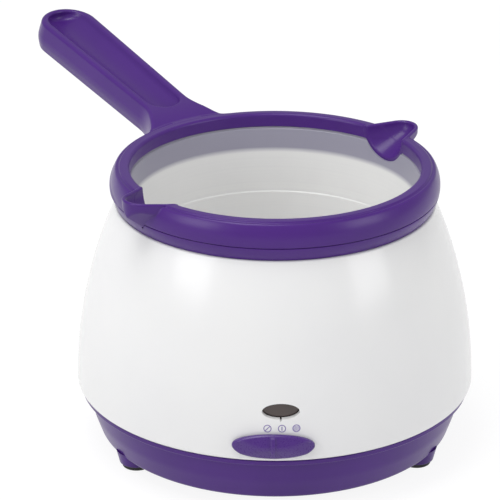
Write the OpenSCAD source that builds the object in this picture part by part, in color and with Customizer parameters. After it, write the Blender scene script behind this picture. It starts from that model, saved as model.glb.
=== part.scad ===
// Electric chocolate melting pot: a lift-out pot with a collar, two pouring beaks and a handle,
// in a heated base with a three-position slide knob. Units are millimetres, +Z is up, and the
// origin is on the pot's axis at the table. The knob faces -Y.

/* [Shell] */
// Radius of the white shell at the seam, its widest place
seam_r = 88; // [84:0.5:96]
// Height of the seam above the table
seam_z = 28.3; // [27:0.1:31]
// How far the widest point of the barrelled side lies below the seam
side_curve_drop = 2.5; // [0:0.5:5]
// Width of the shell's rim outside the well's flange
rim_w = 1.2; // [1:0.1:3]
// Height of the shell's top rim, where the pot's collar rests
rim_z = 110.8; // [106:0.1:116]
// Thickness of the shell's wall
shell_wall = 2.4; // [1.8:0.1:3]
// Rounding of the shell's lower edge
shell_edge_r = 1.2; // [0.5:0.1:2]
// Rounding of the shell's top edge
rim_edge_r = 0.8; // [0.4:0.1:1.2]
// Angle between neighbouring screw posts inside the shell
post_pitch = 90; // [90]
// How far in from the seam the screw posts stand
post_inset = 16; // [14:0.5:18]
// Radius of one screw post
post_r = 4.5; // [4:0.1:5.5]
// Height at which a post's foot meets the base
post_z = 20; // [18:0.5:22]
// Length of one screw post
post_len = 26; // [22:1:32]

/* [Pot] */
// How far the pot's rim reaches in past the collar
pot_rim_reach = 0.2; // [0.1:0.1:1]
// Angle of the pot's wall from upright
pot_draft = 7; // [5:0.5:8]
// Thickness of the pot's wall and floor
pot_wall = 1.6; // [1.2:0.1:1.8]
// Height of the pot's rim, the top of its flange
pot_rim_z = 120.7; // [119.9:0.1:121.5]
// Width of the pot's flange under the collar
pot_flange_w = 5.4; // [4.8:0.1:5.6]
// Height of the step in the pot's wall
pot_step_z = 92.1; // [80:0.5:104]
// How far the wall steps in there
pot_step_w = 1.4; // [0.8:0.1:2]
// Height of the pot's floor inside
pot_floor_z = 60; // [58:0.5:70]
// Radius of the corner between wall and floor
pot_corner_r = 8; // [5:0.5:12]
// Angle to which the pot is turned in its well, counted from the handle at the back
pot_turn = 34.8; // [0:0.2:360]

/* [Collar] */
// Inner radius of the collar
ring_in_r = 63.1; // [58:0.1:68]
// Width of the collar's ring at its widest
ring_w = 8.4; // [8.1:0.1:10]
// Height of its widest place
ring_bulge_z = 119.3; // [118:0.1:121]
// Radius of the collar's barrel shape in profile
ring_curve_r = 14; // [12:0.5:20]
// Height of the collar's top
ring_top_z = 127.7; // [126.5:0.1:130]
// Rounding of the collar's outer top edge
ring_edge_r = 1.6; // [0.8:0.1:2]
// Rounding of the collar's inner top edge
ring_bead_r = 0.9; // [0.4:0.1:1.2]
// Thickness of the upper collar's walls
ring_wall = 2.2; // [1.8:0.1:2.4]
// Height of the line where the upper and lower collars part
parting_z = 116.9; // [116:0.1:117.8]
// Width of the groove at that line
parting_gap = 0.2; // [0.1:0.05:0.4]
// Thickness of the soft seal on the pot's flange
seal_t = 0.8; // [0.5:0.1:1]
// Number of screws that clamp the pot's flange
collar_screw_count = 8; // [8]
// How far out from the collar's inner wall those screws stand
collar_screw_inset = 3.1; // [2.9:0.1:3.3]

/* [Beaks] */
// Half the width of a beak's trough at the collar's inner wall
beak_mouth_r = 14.1; // [11:0.1:15]
// Radius of the trough at its tip
beak_tip_r = 0.9; // [0.6:0.1:1.6]
// Length of the trough from the inner wall to its tip
beak_len = 15; // [12:0.5:18]
// Thickness of the beak's wall
beak_wall = 2; // [1.5:0.1:2.4]
// Angle by which the beak's lip rises
beak_rise = 5; // [0:0.5:8]

/* [Handle] */
// Length of the handle from the collar's inner wall to its end
handle_len = 118; // [100:1:140]
// Angle by which the handle rises
handle_rise = 12; // [8:0.5:16]
// Half the handle's width at its outer end
handle_tip_w = 13.6; // [12:0.1:16]
// Half the handle's width at the collar
handle_root_w = 11.4; // [10.6:0.1:13]
// Depth of the handle
handle_h = 14; // [13:0.1:16]
// How far below its top the handle is widest
handle_widest = 8.4; // [6:0.1:9]
// How much wider it is there, on each side
handle_swell = 1.4; // [0.5:0.1:2]
// How much the sides tuck in again towards the underside
handle_tuck = 1.4; // [0.5:0.1:2]
// Radius of the fillets between handle and collar
handle_fillet_r = 12; // [8:0.5:16]
// Width of the raised rim round the thumb scoop
scoop_rim = 2.8; // [2:0.1:3.2]
// Depth of the thumb scoop
scoop_depth = 3.2; // [2:0.1:4]
// Thickness of plastic under the scoop
handle_skin = 2.2; // [1.6:0.1:3]
// Thickness of the cover under the handle
cover_t = 2; // [1.6:0.1:2.4]
// Width of the rim that frames the cover
cover_frame = 2.4; // [2:0.1:3]

/* [Base] */
// Height of the base's underside above the table
pan_z = 6; // [5:0.5:8]
// How far in from the seam the base's lower edge lies
base_foot_inset = 10; // [8:0.5:11]
// How far in from the seam the base lies just below its lip
base_top_inset = 4.6; // [4:0.2:5.6]
// How far in from the seam the lip's edge lies
lip_inset = 1.4; // [1:0.1:2]
// Thickness of the lip
lip_t = 1.3; // [1:0.1:1.8]
// Height of the shadow gap between the lip and the shell
reveal = 0.6; // [0.3:0.1:1]
// Thickness of the base's wall and floor
pan_wall = 2.4; // [2:0.1:3]
// Rounding of the base's lower edge
pan_edge_r = 1.8; // [1:0.1:2.4]
// Height of the tongue that centres the shell, above the seam
tongue_h = 2.4; // [1.6:0.1:2.6]
// Thickness of that tongue
tongue_t = 1.6; // [1.2:0.1:2]
// Number of vent slots in the floor
vent_count = 12; // [6:1:18]
// Length of a vent slot
vent_len = 18; // [10:1:20]
// Width of a vent slot
vent_w = 3; // [2:0.5:4]

/* [Feet] */
// How far in from the base's lower edge the feet stand
foot_inset = 7.2; // [7:0.2:9]
// Radius of a rubber foot
foot_r = 6.4; // [5.5:0.1:7]
// Height of a foot's boss above the table
foot_boss_z = 1.8; // [1.2:0.1:2.4]
// Width of the boss's rim round the rubber
foot_rim = 1.3; // [1:0.1:1.6]
// How deep the rubber sits in its boss
foot_sink = 1.2; // [0.8:0.1:1.6]
// Rounding of the rubber's lower edge
foot_edge_r = 0.8; // [0.4:0.1:1]
// Radius of the plug that holds the rubber
foot_plug_r = 2.5; // [2:0.1:3]

/* [Well and heater] */
// Play between the pot's rim and the well's mouth
well_play = 2.1; // [1.9:0.1:2.3]
// Thickness of the metal liner
liner_t = 0.8; // [0.6:0.1:1]
// Width of the liner's flange on the shell's rim
liner_flange_w = 3.3; // [2.6:0.1:3.4]
// Radius of the corner at the bottom of the well
well_corner_r = 2; // [1.5:0.1:2.4]
// How far inside the edge of the pot's flat floor the heater plate ends
plate_margin = 0.97; // [0.5:0.01:3]
// Thickness of the heater plate above the well's floor
plate_t = 2.7; // [2:0.1:3.4]
// Width of the plate's seat on the well's floor
plate_seat_w = 6; // [5:0.5:8]
// Thickness of the mica heater
mica_t = 1; // [0.8:0.1:1.4]
// Thickness of the steel clamp under the heater
clamp_t = 1.2; // [1:0.1:1.6]
// Width of the clamp's raised rim
clamp_rim = 3; // [2:0.1:4]
// How far in from the edge of the opening under the plate the heater's screws stand
heater_screw_inset = 10; // [7:0.5:12]
// How far out from the plate the pillars that carry the well stand
pillar_inset = 7.5; // [7.2:0.1:8]
// Radius of one pillar
pillar_r = 3.6; // [3.2:0.1:4]
// Radius of the thermostat's sensing cap
thermostat_cap_r = 8; // [7:0.1:8.5]
// Height of that cap
thermostat_cap_h = 3; // [2.6:0.1:3.4]
// Length of the thermostat's body below its flange
thermostat_len = 9; // [7:0.5:11]
// Half the distance between the thermostat's screws
thermostat_screw_x = 12; // [11.5:0.1:13]
// Radius of the thermal fuse
fuse_r = 2; // [1.6:0.1:2.4]
// Length of the thermal fuse
fuse_len = 12; // [9:0.5:14]

/* [Knob and switch] */
// Length of the oval knob
knob_w = 34.5; // [30:0.5:38]
// Height of the oval knob
knob_h = 10.8; // [10:0.1:12]
// Height of the knob's middle above the table
knob_z = 35.4; // [35:0.1:36.5]
// Clearance between the knob's back and the widest part of the shell behind it
knob_gap = 0.3; // [0.2:0.05:0.5]
// Thickness of the knob along its ridge
knob_t = 3.8; // [3:0.1:5]
// Thickness of the knob at its upper and lower edges
knob_edge_t = 1.6; // [1:0.1:2]
// Radius of the knob's crown seen from above
knob_crown_r = 42; // [38:1:60]
// Width of the finger rib
knob_rib_w = 2.2; // [1.6:0.1:3]
// How far the rib stands out from the ridge
knob_rib_t = 0.9; // [0.5:0.1:1.5]
// Angle that the knob travels from off to its last position
knob_travel = 4.6; // [3:0.1:5]
// Width of the knob's stem
stem_w = 12; // [11:0.5:13]
// Height of the knob's stem
stem_h = 6; // [5.4:0.1:6.2]
// Width of the slide switch's nub
nub_w = 5; // [4:0.1:5.6]
// How far in from the seam the switch's face plate lies
switch_inset = 10; // [9.6:0.1:10.4]
// Width of the switch's body
switch_w = 28; // [26:1:30]
// Depth of the switch's body
switch_depth = 11; // [9:0.5:12]
// Height of the switch's body
switch_h = 11; // [10:0.5:12]
// Thickness of the switch's face plate
switch_plate_t = 1.2; // [1:0.1:1.5]
// Half the distance between the switch's screws
switch_screw_x = 20; // [19.5:0.1:21]

/* [Indicator] */
// Width of the indicator window
lens_w = 15.4; // [13:0.2:17]
// Height of the indicator window
lens_h = 6.7; // [6:0.1:7.5]
// Height of the window's middle above the table
lens_z = 50.6; // [50:0.2:54]
// How far the lens stands out of the shell
lens_proud = 0.4; // [0.1:0.1:0.8]
// Width of the flange behind the window
lens_flange = 1.5; // [1:0.1:1.8]
// How far behind the shell's face the flat back of the lens lies
lens_depth = 4.9; // [4.5:0.1:5.3]
// Radius of the lamp
lamp_r = 2.9; // [2.4:0.1:3]
// Length of the lamp
lamp_len = 12; // [10:0.5:13]

/* [Inlet] */
// Height of the cord inlet above the table
inlet_z = 16.6; // [16:0.1:17]
// How far in from the seam the flat face round the inlet lies
inlet_inset = 6; // [5.4:0.1:6.4]
// Radius of the inlet's bore
inlet_bore_r = 3.2; // [2.6:0.1:3.6]
// Radius of the bush's neck
inlet_neck_r = 4.9; // [4.6:0.1:5.2]
// Radius of the bush's flange
inlet_flange_r = 7; // [6.4:0.1:7.4]
// Thickness of the bush's flange
inlet_flange_t = 1.8; // [1.2:0.1:2.4]

/* [Screws] */
// Radius of the collar screws' shanks
collar_screw_r = 1; // [0.9:0.05:1.05]
// Radius of the collar screws' heads
collar_head_r = 1.7; // [1.5:0.05:1.75]
// Radius of the other screws' shanks
screw_r = 1.4; // [1.2:0.05:1.5]
// Radius of the other screws' heads
head_r = 2.7; // [2.4:0.05:2.8]
// Height of the screws' heads
head_h = 1.5; // [1.2:0.1:1.6]

/* [Hidden] */
$fn = 72;
// Number of sides that the largest arcs are drawn with
fine = 240;
// How far a cut runs past the face that it opens
over = 1;
// Clearance between parts that fit into each other and stay still
fit_gap = 0.2;
// Clearance round a screw's shank where it passes through a part
screw_play = 0.2;
// Clearance between a screw's shank and the hole that it cuts its thread in
thread_gap = 0.05;
// Clearance between parts that slide on each other
slide_gap = 0.4;
// Clearance between a wire's end and the tab that it is soldered to
solder_gap = 0.1;

// Radii that follow from the collar's inner wall and from the seam
pot_mouth_r = ring_in_r - pot_rim_reach;
pot_flange_r = ring_in_r + pot_flange_w;
ring_bulge_r = ring_in_r + ring_w;
collar_screw_circle_r = ring_in_r + collar_screw_inset;
well_mouth_r = pot_mouth_r + well_play;
liner_flange_r = well_mouth_r + liner_flange_w;
rim_r = liner_flange_r + fit_gap + rim_w;
pot_flat_z = pot_floor_z + pot_corner_r;
pot_flat_r = pot_r(pot_flat_z) - pot_step_w - pot_corner_r / cos(pot_draft);
plate_r = pot_flat_r - plate_margin;
plate_hole_r = plate_r - plate_seat_w;
heater_screw_circle_r = plate_hole_r - heater_screw_inset;
pillar_circle_r = plate_r + pillar_inset;
post_circle_r = seam_r - post_inset;
base_foot_r = seam_r - base_foot_inset;
base_top_r = seam_r - base_top_inset;
lip_r = seam_r - lip_inset;
foot_circle_r = base_foot_r - foot_inset;
switch_face_y = seam_r - switch_inset;
inlet_face_y = seam_r - inlet_inset;

// The shell's side is an arc from the seam to the rim, and has its centre here in profile
side_mid_z = seam_z - side_curve_drop;
side_rise = rim_z - side_mid_z;
side_spread = (side_rise * side_rise - side_curve_drop * side_curve_drop) / (seam_r - rim_r);
side_mid_r = (seam_r + rim_r - side_spread) / 2;
side_curve_r = norm([seam_r - side_mid_r, side_curve_drop]);
lens_back_y = side_r(lens_z, lens_depth);
// Radius of the shell's side at a height, a given depth below its surface
function side_r(z, inset) = side_mid_r + sqrt(pow(side_curve_r - inset, 2) - pow(z - side_mid_z, 2));

throat_r = well_mouth_r + liner_t + fit_gap;
pot_under_z = pot_floor_z - pot_wall;
well_floor_z = pot_under_z - plate_t;
liner_under_z = well_floor_z - liner_t;
plate_boss_t = liner_t + mica_t / 2;
plate_under_z = well_floor_z - plate_boss_t;
clamp_top_z = plate_under_z - mica_t;
clamp_under_z = clamp_top_z - clamp_t;
clamp_r = plate_r + pot_step_w / 2;
pan_floor_z = pan_z + pan_wall;
lip_top_z = seam_z - reveal;
tongue_out_r = side_r(seam_z, shell_wall) - fit_gap;
seal_top_z = pot_rim_z + seal_t;
ledge_z = pot_rim_z - pot_wall;
channel_in_r = ring_in_r + ring_wall;
channel_out_r = ring_bulge_r - ring_wall - parting_gap;
channel_top_z = ring_top_z - ring_wall;
ring_mid_r = ring_bulge_r - ring_curve_r;
function ring_r(z, inset) = ring_mid_r + sqrt(pow(ring_curve_r - inset, 2) - pow(z - ring_bulge_z, 2));
// Radius of the pot's wall inside, above the step
function pot_r(z) = pot_mouth_r - (pot_rim_z - z) * tan(pot_draft);
pot_skin = pot_wall / cos(pot_draft);
well_skin = liner_t / cos(pot_draft);
knob_back_r = side_r(knob_z - knob_h / 2, 0) + knob_gap;
nub_reach_y = side_r(knob_z, shell_wall) - slide_gap * 3;
fork_r = (switch_face_y + slide_gap * 4 + nub_reach_y) / 2;
slider_travel = 2 * fork_r * sin(knob_travel / 2);
slider_rest_x = -slider_travel / 2;
cavity_depth = switch_depth / 3;
beak_slope = (beak_mouth_r - beak_tip_r) / beak_len;
beak_angle = atan(beak_slope);
grip_x = handle_len - handle_tip_w;
grip_root_x = handle_root_w + handle_swell;
cavity_x = grip_root_x + handle_fillet_r + cover_frame;
cover_top = handle_h - cover_t;
handle_screws_x = [cavity_x + handle_root_w / 2, grip_x - handle_tip_w / 2];
collar_head_z = rim_z + head_h + parting_gap * 2;
fuse_y = heater_screw_circle_r - fuse_r * 3;
fuse_z = clamp_under_z - clamp_t / 2 - fuse_r - thread_gap;
thermostat_flange_t = clamp_t / 2;
thermostat_tab_z = clamp_under_z - thermostat_flange_t - thermostat_len * 2;
tab_t = 0.8;
tab_w = 4.8;
tab_y = switch_face_y - switch_plate_t - switch_depth - tab_w;
wire_r = 1.1;
lead_r = 0.5;
block_size = [24, 12, 11];
block_set_back = 36;
block_y = inlet_face_y - block_set_back;

white = [0.95, 0.95, 0.96];
purple = [0.29, 0.18, 0.47];
pot_grey = [0.84, 0.84, 0.85];
steel = [0.66, 0.67, 0.69];
brass = [0.78, 0.65, 0.35];
rubber = [0.07, 0.07, 0.08];
cream = [0.88, 0.84, 0.74];

// A wedge from one angle to another less a disc: what rounds off a corner whose arc is centred here
module edge_cut(r, from, to) {
    reach = r * 2;
    difference() {
        polygon([
            [0, 0],
            reach * [cos(from), sin(from)],
            reach * sqrt(2) * [cos((from + to) / 2), sin((from + to) / 2)],
            reach * [cos(to), sin(to)]
        ]);
        circle(r);
    }
}

// The shell's side in profile, filled from the axis outwards between two heights
module side_region(inset, low, high) {
    intersection() {
        translate([side_mid_r, side_mid_z]) circle(side_curve_r - inset, $fn = fine * 3);
        translate([0, low]) square([seam_r, high - low]);
    }
}

// A drafted cup in profile, filled from the axis outwards, with a rounded corner at its floor
module cup_region(top_r, top_z, floor_z, corner) {
    mid_z = floor_z + corner;
    mid_r = top_r - (top_z - mid_z) * tan(pot_draft) - corner / cos(pot_draft);
    touch_r = mid_r + corner * cos(pot_draft);
    touch_z = mid_z - corner * sin(pot_draft);
    polygon([[0, touch_z], [touch_r, touch_z], [top_r, top_z], [0, top_z]]);
    translate([mid_r, mid_z]) circle(corner);
    translate([0, floor_z]) square([mid_r, mid_z - floor_z]);
}

// A bar with round ends of different radii and straight tangent sides
module round_bar(x1, r1, x2, r2, h) hull() {
    translate([x1, 0, 0]) cylinder(r = r1, h = h, $fn = 64);
    translate([x2, 0, 0]) cylinder(r = r2, h = h, $fn = 64);
}

// An ellipse with the given width and height
module oval(w, h) {
    steps = 48;
    polygon([for (i = [0 : steps - 1]) [w / 2 * cos(i * 360 / steps), h / 2 * sin(i * 360 / steps)]]);
}

// Turns a flat shape to stand upright at the front, facing -Y, and gives it a depth from y1 to y2
module front_prism(z, y1, y2) {
    translate([0, -y1, z]) rotate([90, 0, 0]) linear_extrude(y2 - y1) children();
}

module ring_copies(count, r, start) {
    for (i = [0 : count - 1]) rotate([0, 0, start + i * 360 / count]) translate([r, 0, 0]) children();
}

// A screw whose head's underside lies at the origin and whose shank points up
module screw(shank, len, head, height) {
    translate([0, 0, -height]) cylinder(r = head, h = height);
    cylinder(r = shank, h = len);
}

// A straight round rod from one point to another
module rod(from, to, r) {
    run = to - from;
    turn = atan2(run[1], run[0]);
    lean = atan2(norm([run[0], run[1]]), run[2]);
    translate(from) rotate([0, lean, turn]) cylinder(r = r, h = norm(run), $fn = 24);
}

// A soft wire through the given points, with rounded ends and knees
module wire(points, r) {
    for (i = [0 : len(points) - 2]) hull() {
        translate(points[i]) sphere(r, $fn = 8);
        translate(points[i + 1]) sphere(r, $fn = 8);
    }
}

module shell_profile() {
    top_z = rim_z - rim_edge_r;
    difference() {
        side_region(0, seam_z, rim_z);
        side_region(shell_wall, seam_z - over, rim_z - shell_wall);
        translate([0, rim_z - shell_wall - over]) square([throat_r, shell_wall + over * 2]);
        translate([0, rim_z - liner_t]) square([liner_flange_r + fit_gap, liner_t + over]);
        translate([seam_r - shell_edge_r, seam_z + shell_edge_r]) edge_cut(shell_edge_r, -90, 0);
        translate([side_r(top_z, rim_edge_r), top_z])
            edge_cut(rim_edge_r, asin((top_z - side_mid_z) / (side_curve_r - rim_edge_r)), 90);
    }
}

// What grows inside the shell: screw posts with their ribs, and the bosses of the switch
module shell_bosses() {
    rib_z = seam_z + tongue_h + slide_gap;
    intersection() {
        union() {
            ring_copies(360 / post_pitch, post_circle_r, post_pitch / 2) {
                translate([0, 0, post_z]) cylinder(r = post_r, h = post_len);
                translate([0, -tongue_t / 2, rib_z])
                    cube([seam_r - post_circle_r, tongue_t, post_z + post_len - rib_z]);
            }
            for (side = [-1, 1]) translate([side * switch_screw_x, -switch_face_y, knob_z])
                rotate([90, 0, 0]) cylinder(r = head_r + fit_gap * 2, h = seam_r - switch_face_y);
        }
        rotate_extrude($fn = fine) side_region(shell_wall / 2, 0, rim_z);
    }
}

module knob_slot() {
    slot_w = stem_w + 2 * slide_gap + knob_back_r * sin(knob_travel);
    front_prism(knob_z, switch_face_y, seam_r + over)
        square([slot_w, stem_h + 2 * slide_gap], center = true);
}

module outer_shell() color(white) difference() {
    union() {
        rotate_extrude($fn = fine) shell_profile();
        shell_bosses();
    }
    knob_slot();
    front_prism(lens_z, lens_back_y, seam_r + over) oval(lens_w + fit_gap, lens_h + fit_gap);
    ring_copies(360 / post_pitch, post_circle_r, post_pitch / 2)
        translate([0, 0, post_z - over]) cylinder(r = screw_r + thread_gap, h = post_len * 3 / 4);
    for (side = [-1, 1]) translate([side * switch_screw_x, -switch_face_y + over, knob_z])
        rotate([90, 0, 0]) cylinder(r = screw_r + thread_gap, h = head_h * 3 + over);
}

// Points along a drafted cup's rounded corner, from its floor up to its wall
function corner_points(mid_r, mid_z, r) = [
    for (step = [0 : 12]) let (a = -90 + step * (90 - pot_draft) / 12)
        [mid_r + r * cos(a), mid_z + r * sin(a)]
];

module well_liner() color(steel) {
    mid_z = well_floor_z + well_corner_r;
    mid_r = well_mouth_r - (rim_z - mid_z) * tan(pot_draft) - well_corner_r / cos(pot_draft);
    inner = corner_points(mid_r, mid_z, well_corner_r);
    hole_r = plate_hole_r + fit_gap;
    difference() {
        rotate_extrude($fn = fine) polygon(concat(
            [[hole_r, liner_under_z]],
            corner_points(mid_r, mid_z, well_corner_r + liner_t),
            [
                [well_mouth_r + well_skin - liner_t * tan(pot_draft), rim_z - liner_t],
                [liner_flange_r, rim_z - liner_t],
                [liner_flange_r, rim_z],
                [well_mouth_r, rim_z]
            ],
            [for (i = [len(inner) - 1 : -1 : 0]) inner[i]],
            [[hole_r, well_floor_z]]
        ));
        ring_copies(3, pillar_circle_r, 0) translate([0, 0, liner_under_z - over])
            cylinder(r = screw_r + screw_play, h = liner_t + over * 2);
    }
}

module pan_profile() {
    wall_low_z = pan_z + pan_edge_r;
    lean = atan((base_top_r - base_foot_r) / (lip_top_z - lip_t - pan_z));
    edge_mid_r = base_foot_r + pan_edge_r * tan(lean) - pan_edge_r / cos(lean);
    difference() {
        union() {
            polygon([
                [0, pan_z],
                [base_foot_r, pan_z],
                [base_top_r, lip_top_z - lip_t],
                [0, lip_top_z - lip_t]
            ]);
            translate([0, lip_top_z - lip_t]) square([lip_r, lip_t]);
            translate([tongue_out_r - tongue_t, lip_top_z])
                square([tongue_t, seam_z + tongue_h - lip_top_z]);
        }
        polygon([
            [0, pan_floor_z],
            [base_foot_r + (pan_floor_z - pan_z) * tan(lean) - pan_wall, pan_floor_z],
            [base_top_r - pan_wall, lip_top_z - lip_t],
            [base_top_r - pan_wall, seam_z + tongue_h + over],
            [0, seam_z + tongue_h + over]
        ]);
        translate([edge_mid_r, wall_low_z]) edge_cut(pan_edge_r, -90, -lean);
    }
}

module pan_bosses() {
    fin = pillar_r * 2;
    ring_copies(360 / post_pitch, post_circle_r, post_pitch / 2)
        translate([0, 0, pan_z]) cylinder(r = post_r + foot_rim, h = post_z - pan_z);
    ring_copies(3, pillar_circle_r, 0) {
        translate([0, 0, pan_floor_z]) cylinder(r = pillar_r, h = liner_under_z - pan_floor_z);
        translate([0, -tongue_t / 2, pan_z]) cube([fin, tongue_t, liner_under_z / 3]);
        translate([-fin, -tongue_t / 2, pan_z]) cube([fin, tongue_t, liner_under_z / 3]);
    }
    ring_copies(3, foot_circle_r, 90) translate([0, 0, foot_boss_z])
        cylinder(r1 = foot_r + foot_rim, r2 = foot_r + foot_rim * 2, h = pan_floor_z - foot_boss_z);
}

module base_pan() color(purple) difference() {
    union() {
        intersection() {
            rotate_extrude($fn = fine) pan_profile();
            translate([0, 0, pan_z]) cylinder(r = seam_r, h = seam_z);
        }
        pan_bosses();
        translate([0, inlet_face_y, inlet_z]) rotate([90, 0, 0])
            cylinder(r = inlet_flange_r + foot_rim, h = inlet_flange_t * 3);
    }
    ring_copies(360 / post_pitch, post_circle_r, post_pitch / 2) {
        translate([0, 0, pan_z - over]) cylinder(r = head_r + slide_gap, h = post_z / 2 + over);
        translate([0, 0, pan_z]) cylinder(r = screw_r + screw_play, h = post_z);
    }
    ring_copies(3, pillar_circle_r, 0)
        translate([0, 0, liner_under_z * 2 / 3]) cylinder(r = screw_r + thread_gap, h = liner_under_z);
    ring_copies(3, foot_circle_r, 90) {
        translate([0, 0, foot_boss_z - over]) cylinder(r = foot_r + thread_gap, h = foot_sink + over);
        translate([0, 0, foot_boss_z]) cylinder(r = foot_plug_r + thread_gap, h = pan_floor_z);
    }
    ring_copies(vent_count, plate_hole_r, 15) translate([-vent_len / 2, 0, pan_z - over]) {
        translate([0, -vent_w / 2, 0]) cube([vent_len, vent_w, pan_wall + over * 2]);
        for (x = [0, vent_len]) translate([x, 0, 0]) cylinder(r = vent_w / 2, h = pan_wall + over * 2);
    }
    translate([0, inlet_face_y + over, inlet_z]) rotate([90, 0, 0]) {
        cylinder(r = inlet_neck_r + thread_gap, h = inlet_flange_t * 4 + over);
        cylinder(r = inlet_flange_r + fit_gap, h = over);
    }
}

module foot_pads() color(rubber) ring_copies(3, foot_circle_r, 90) rotate_extrude() {
    top_z = foot_boss_z + foot_sink;
    difference() {
        square([foot_r, top_z]);
        translate([foot_r - foot_edge_r, foot_edge_r]) edge_cut(foot_edge_r, -90, 0);
    }
    translate([0, top_z]) square([foot_plug_r, pan_floor_z - top_z]);
}

module base_screws() color(steel) ring_copies(360 / post_pitch, post_circle_r, post_pitch / 2)
    translate([0, 0, pan_z + post_z / 2]) difference() {
        screw(screw_r, post_z, head_r, head_h);
        for (turn = [0, 90]) rotate([0, 0, turn]) translate([0, 0, -head_h])
            cube([head_r, screw_r / 2, head_h], center = true);
    }

module liner_screws() color(steel) ring_copies(3, pillar_circle_r, 0)
    translate([0, 0, well_floor_z]) mirror([0, 0, 1]) screw(screw_r, liner_under_z / 4, head_r, head_h);

module heater_plate() color(steel) difference() {
    union() {
        translate([0, 0, well_floor_z]) cylinder(r = plate_r, h = plate_t, $fn = fine);
        translate([0, 0, plate_under_z]) cylinder(r = plate_hole_r, h = plate_boss_t + over, $fn = fine);
    }
    ring_copies(3, heater_screw_circle_r, 90) translate([0, 0, plate_under_z - over])
        cylinder(r = screw_r + thread_gap, h = plate_t + over);
}

// Two leads of the heater, straight down from the mica
heater_leads = [[-plate_hole_r / 2, -heater_screw_circle_r], [plate_hole_r / 2, -heater_screw_circle_r]];
lead_end_z = clamp_under_z - thermostat_len / 2;

module heating_element() color(cream) {
    difference() {
        translate([0, 0, clamp_top_z]) cylinder(r = plate_hole_r - fit_gap, h = mica_t, $fn = fine);
        translate([0, 0, clamp_top_z - over])
            cylinder(r = thermostat_cap_r + slide_gap * 2, h = mica_t + over * 2);
        ring_copies(3, heater_screw_circle_r, 90) translate([0, 0, clamp_top_z - over])
            cylinder(r = screw_r + screw_play, h = mica_t + over * 2);
    }
    for (lead = heater_leads) translate([lead[0], lead[1], lead_end_z])
        cylinder(r = wire_r, h = clamp_top_z - lead_end_z);
}

module heater_clamp() color(steel) difference() {
    rotate_extrude($fn = fine) {
        translate([thermostat_cap_r + slide_gap * 2, clamp_under_z])
            square([clamp_r - thermostat_cap_r - slide_gap * 2, clamp_t]);
        translate([clamp_r - clamp_rim, clamp_under_z])
            square([clamp_rim, liner_under_z - clamp_under_z]);
    }
    ring_copies(3, heater_screw_circle_r, 90) translate([0, 0, clamp_under_z - over])
        cylinder(r = screw_r + screw_play, h = clamp_t + over * 2);
    for (side = [-1, 1]) translate([side * thermostat_screw_x, 0, clamp_under_z - over])
        cylinder(r = screw_r + thread_gap, h = clamp_t + over * 2);
    for (lead = heater_leads) translate([lead[0], lead[1], clamp_under_z - over])
        cylinder(r = wire_r * 2, h = clamp_t + over * 2);
}

module heater_screws() color(steel) ring_copies(3, heater_screw_circle_r, 90)
    translate([0, 0, clamp_under_z]) screw(screw_r, clamp_t + mica_t + plate_t / 2, head_r, head_h);

module thermostat() color(cream) {
    flange_z = clamp_under_z - thermostat_flange_t;
    ear_r = head_r + fit_gap;
    translate([0, 0, flange_z]) cylinder(r = thermostat_cap_r, h = plate_under_z - flange_z);
    difference() {
        translate([0, 0, flange_z])
            round_bar(-thermostat_screw_x, ear_r, thermostat_screw_x, ear_r, thermostat_flange_t);
        for (side = [-1, 1]) translate([side * thermostat_screw_x, 0, flange_z - over])
            cylinder(r = screw_r + screw_play, h = thermostat_flange_t + over * 2);
    }
    translate([0, 0, flange_z - thermostat_len])
        cylinder(r = thermostat_cap_r - slide_gap, h = thermostat_len);
    for (side = [-1, 1]) translate([side * thermostat_cap_r / 2 - tab_t / 2, -tab_w / 2, thermostat_tab_z])
        cube([tab_t, tab_w, thermostat_len]);
}

module thermostat_screws() color(steel) for (side = [-1, 1])
    translate([side * thermostat_screw_x, 0, clamp_under_z - thermostat_flange_t])
        screw(screw_r, thermostat_flange_t + clamp_t, head_r, head_h);

module thermal_fuse() color(steel) {
    rod([-fuse_len / 2, fuse_y, fuse_z], [fuse_len / 2, fuse_y, fuse_z], fuse_r);
    rod([-fuse_len, fuse_y, fuse_z], [fuse_len, fuse_y, fuse_z], lead_r);
}

module fuse_clip() color(steel) {
    clip_r = fuse_r + thread_gap;
    difference() {
        union() {
            rod([-fuse_len / 3, fuse_y, fuse_z], [fuse_len / 3, fuse_y, fuse_z], clip_r + tab_t);
            translate([-fuse_len / 3, fuse_y - clip_r * 2 - tab_t, clamp_under_z - clamp_t / 2])
                cube([fuse_len * 2 / 3, clip_r * 2 + tab_t, clamp_t / 2]);
        }
        rod([-fuse_len, fuse_y, fuse_z], [fuse_len, fuse_y, fuse_z], clip_r);
        translate([-fuse_len, 0, clamp_under_z]) cube([fuse_len * 2, fuse_y * 2, clip_r * 2]);
    }
}

module switch_body() color(rubber) difference() {
    union() {
        translate([0, switch_plate_t - switch_face_y, knob_z]) rotate([90, 0, 0])
            round_bar(-switch_screw_x, switch_h / 2, switch_screw_x, switch_h / 2, switch_plate_t);
        front_prism(knob_z, switch_face_y - switch_plate_t - switch_depth, switch_face_y)
            square([switch_w, switch_h], center = true);
        for (x = [-1, 0, 1]) front_prism(knob_z, tab_y, tab_y + tab_w + over)
            translate([x * switch_w / 3.5, 0]) square([tab_t, tab_w], center = true);
    }
    play = slide_gap * 2;
    front_prism(knob_z, switch_face_y - cavity_depth, switch_face_y - switch_plate_t)
        square([nub_w * 2 + slider_travel + play, nub_w + play + tab_t * 2], center = true);
    front_prism(knob_z, switch_face_y - switch_plate_t - over, switch_face_y + over)
        square([nub_w + slider_travel + play, nub_w + play], center = true);
    for (side = [-1, 1]) translate([side * switch_screw_x, -switch_face_y - over, knob_z])
        rotate([-90, 0, 0]) cylinder(r = screw_r + screw_play, h = switch_plate_t + over * 2);
}

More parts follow.
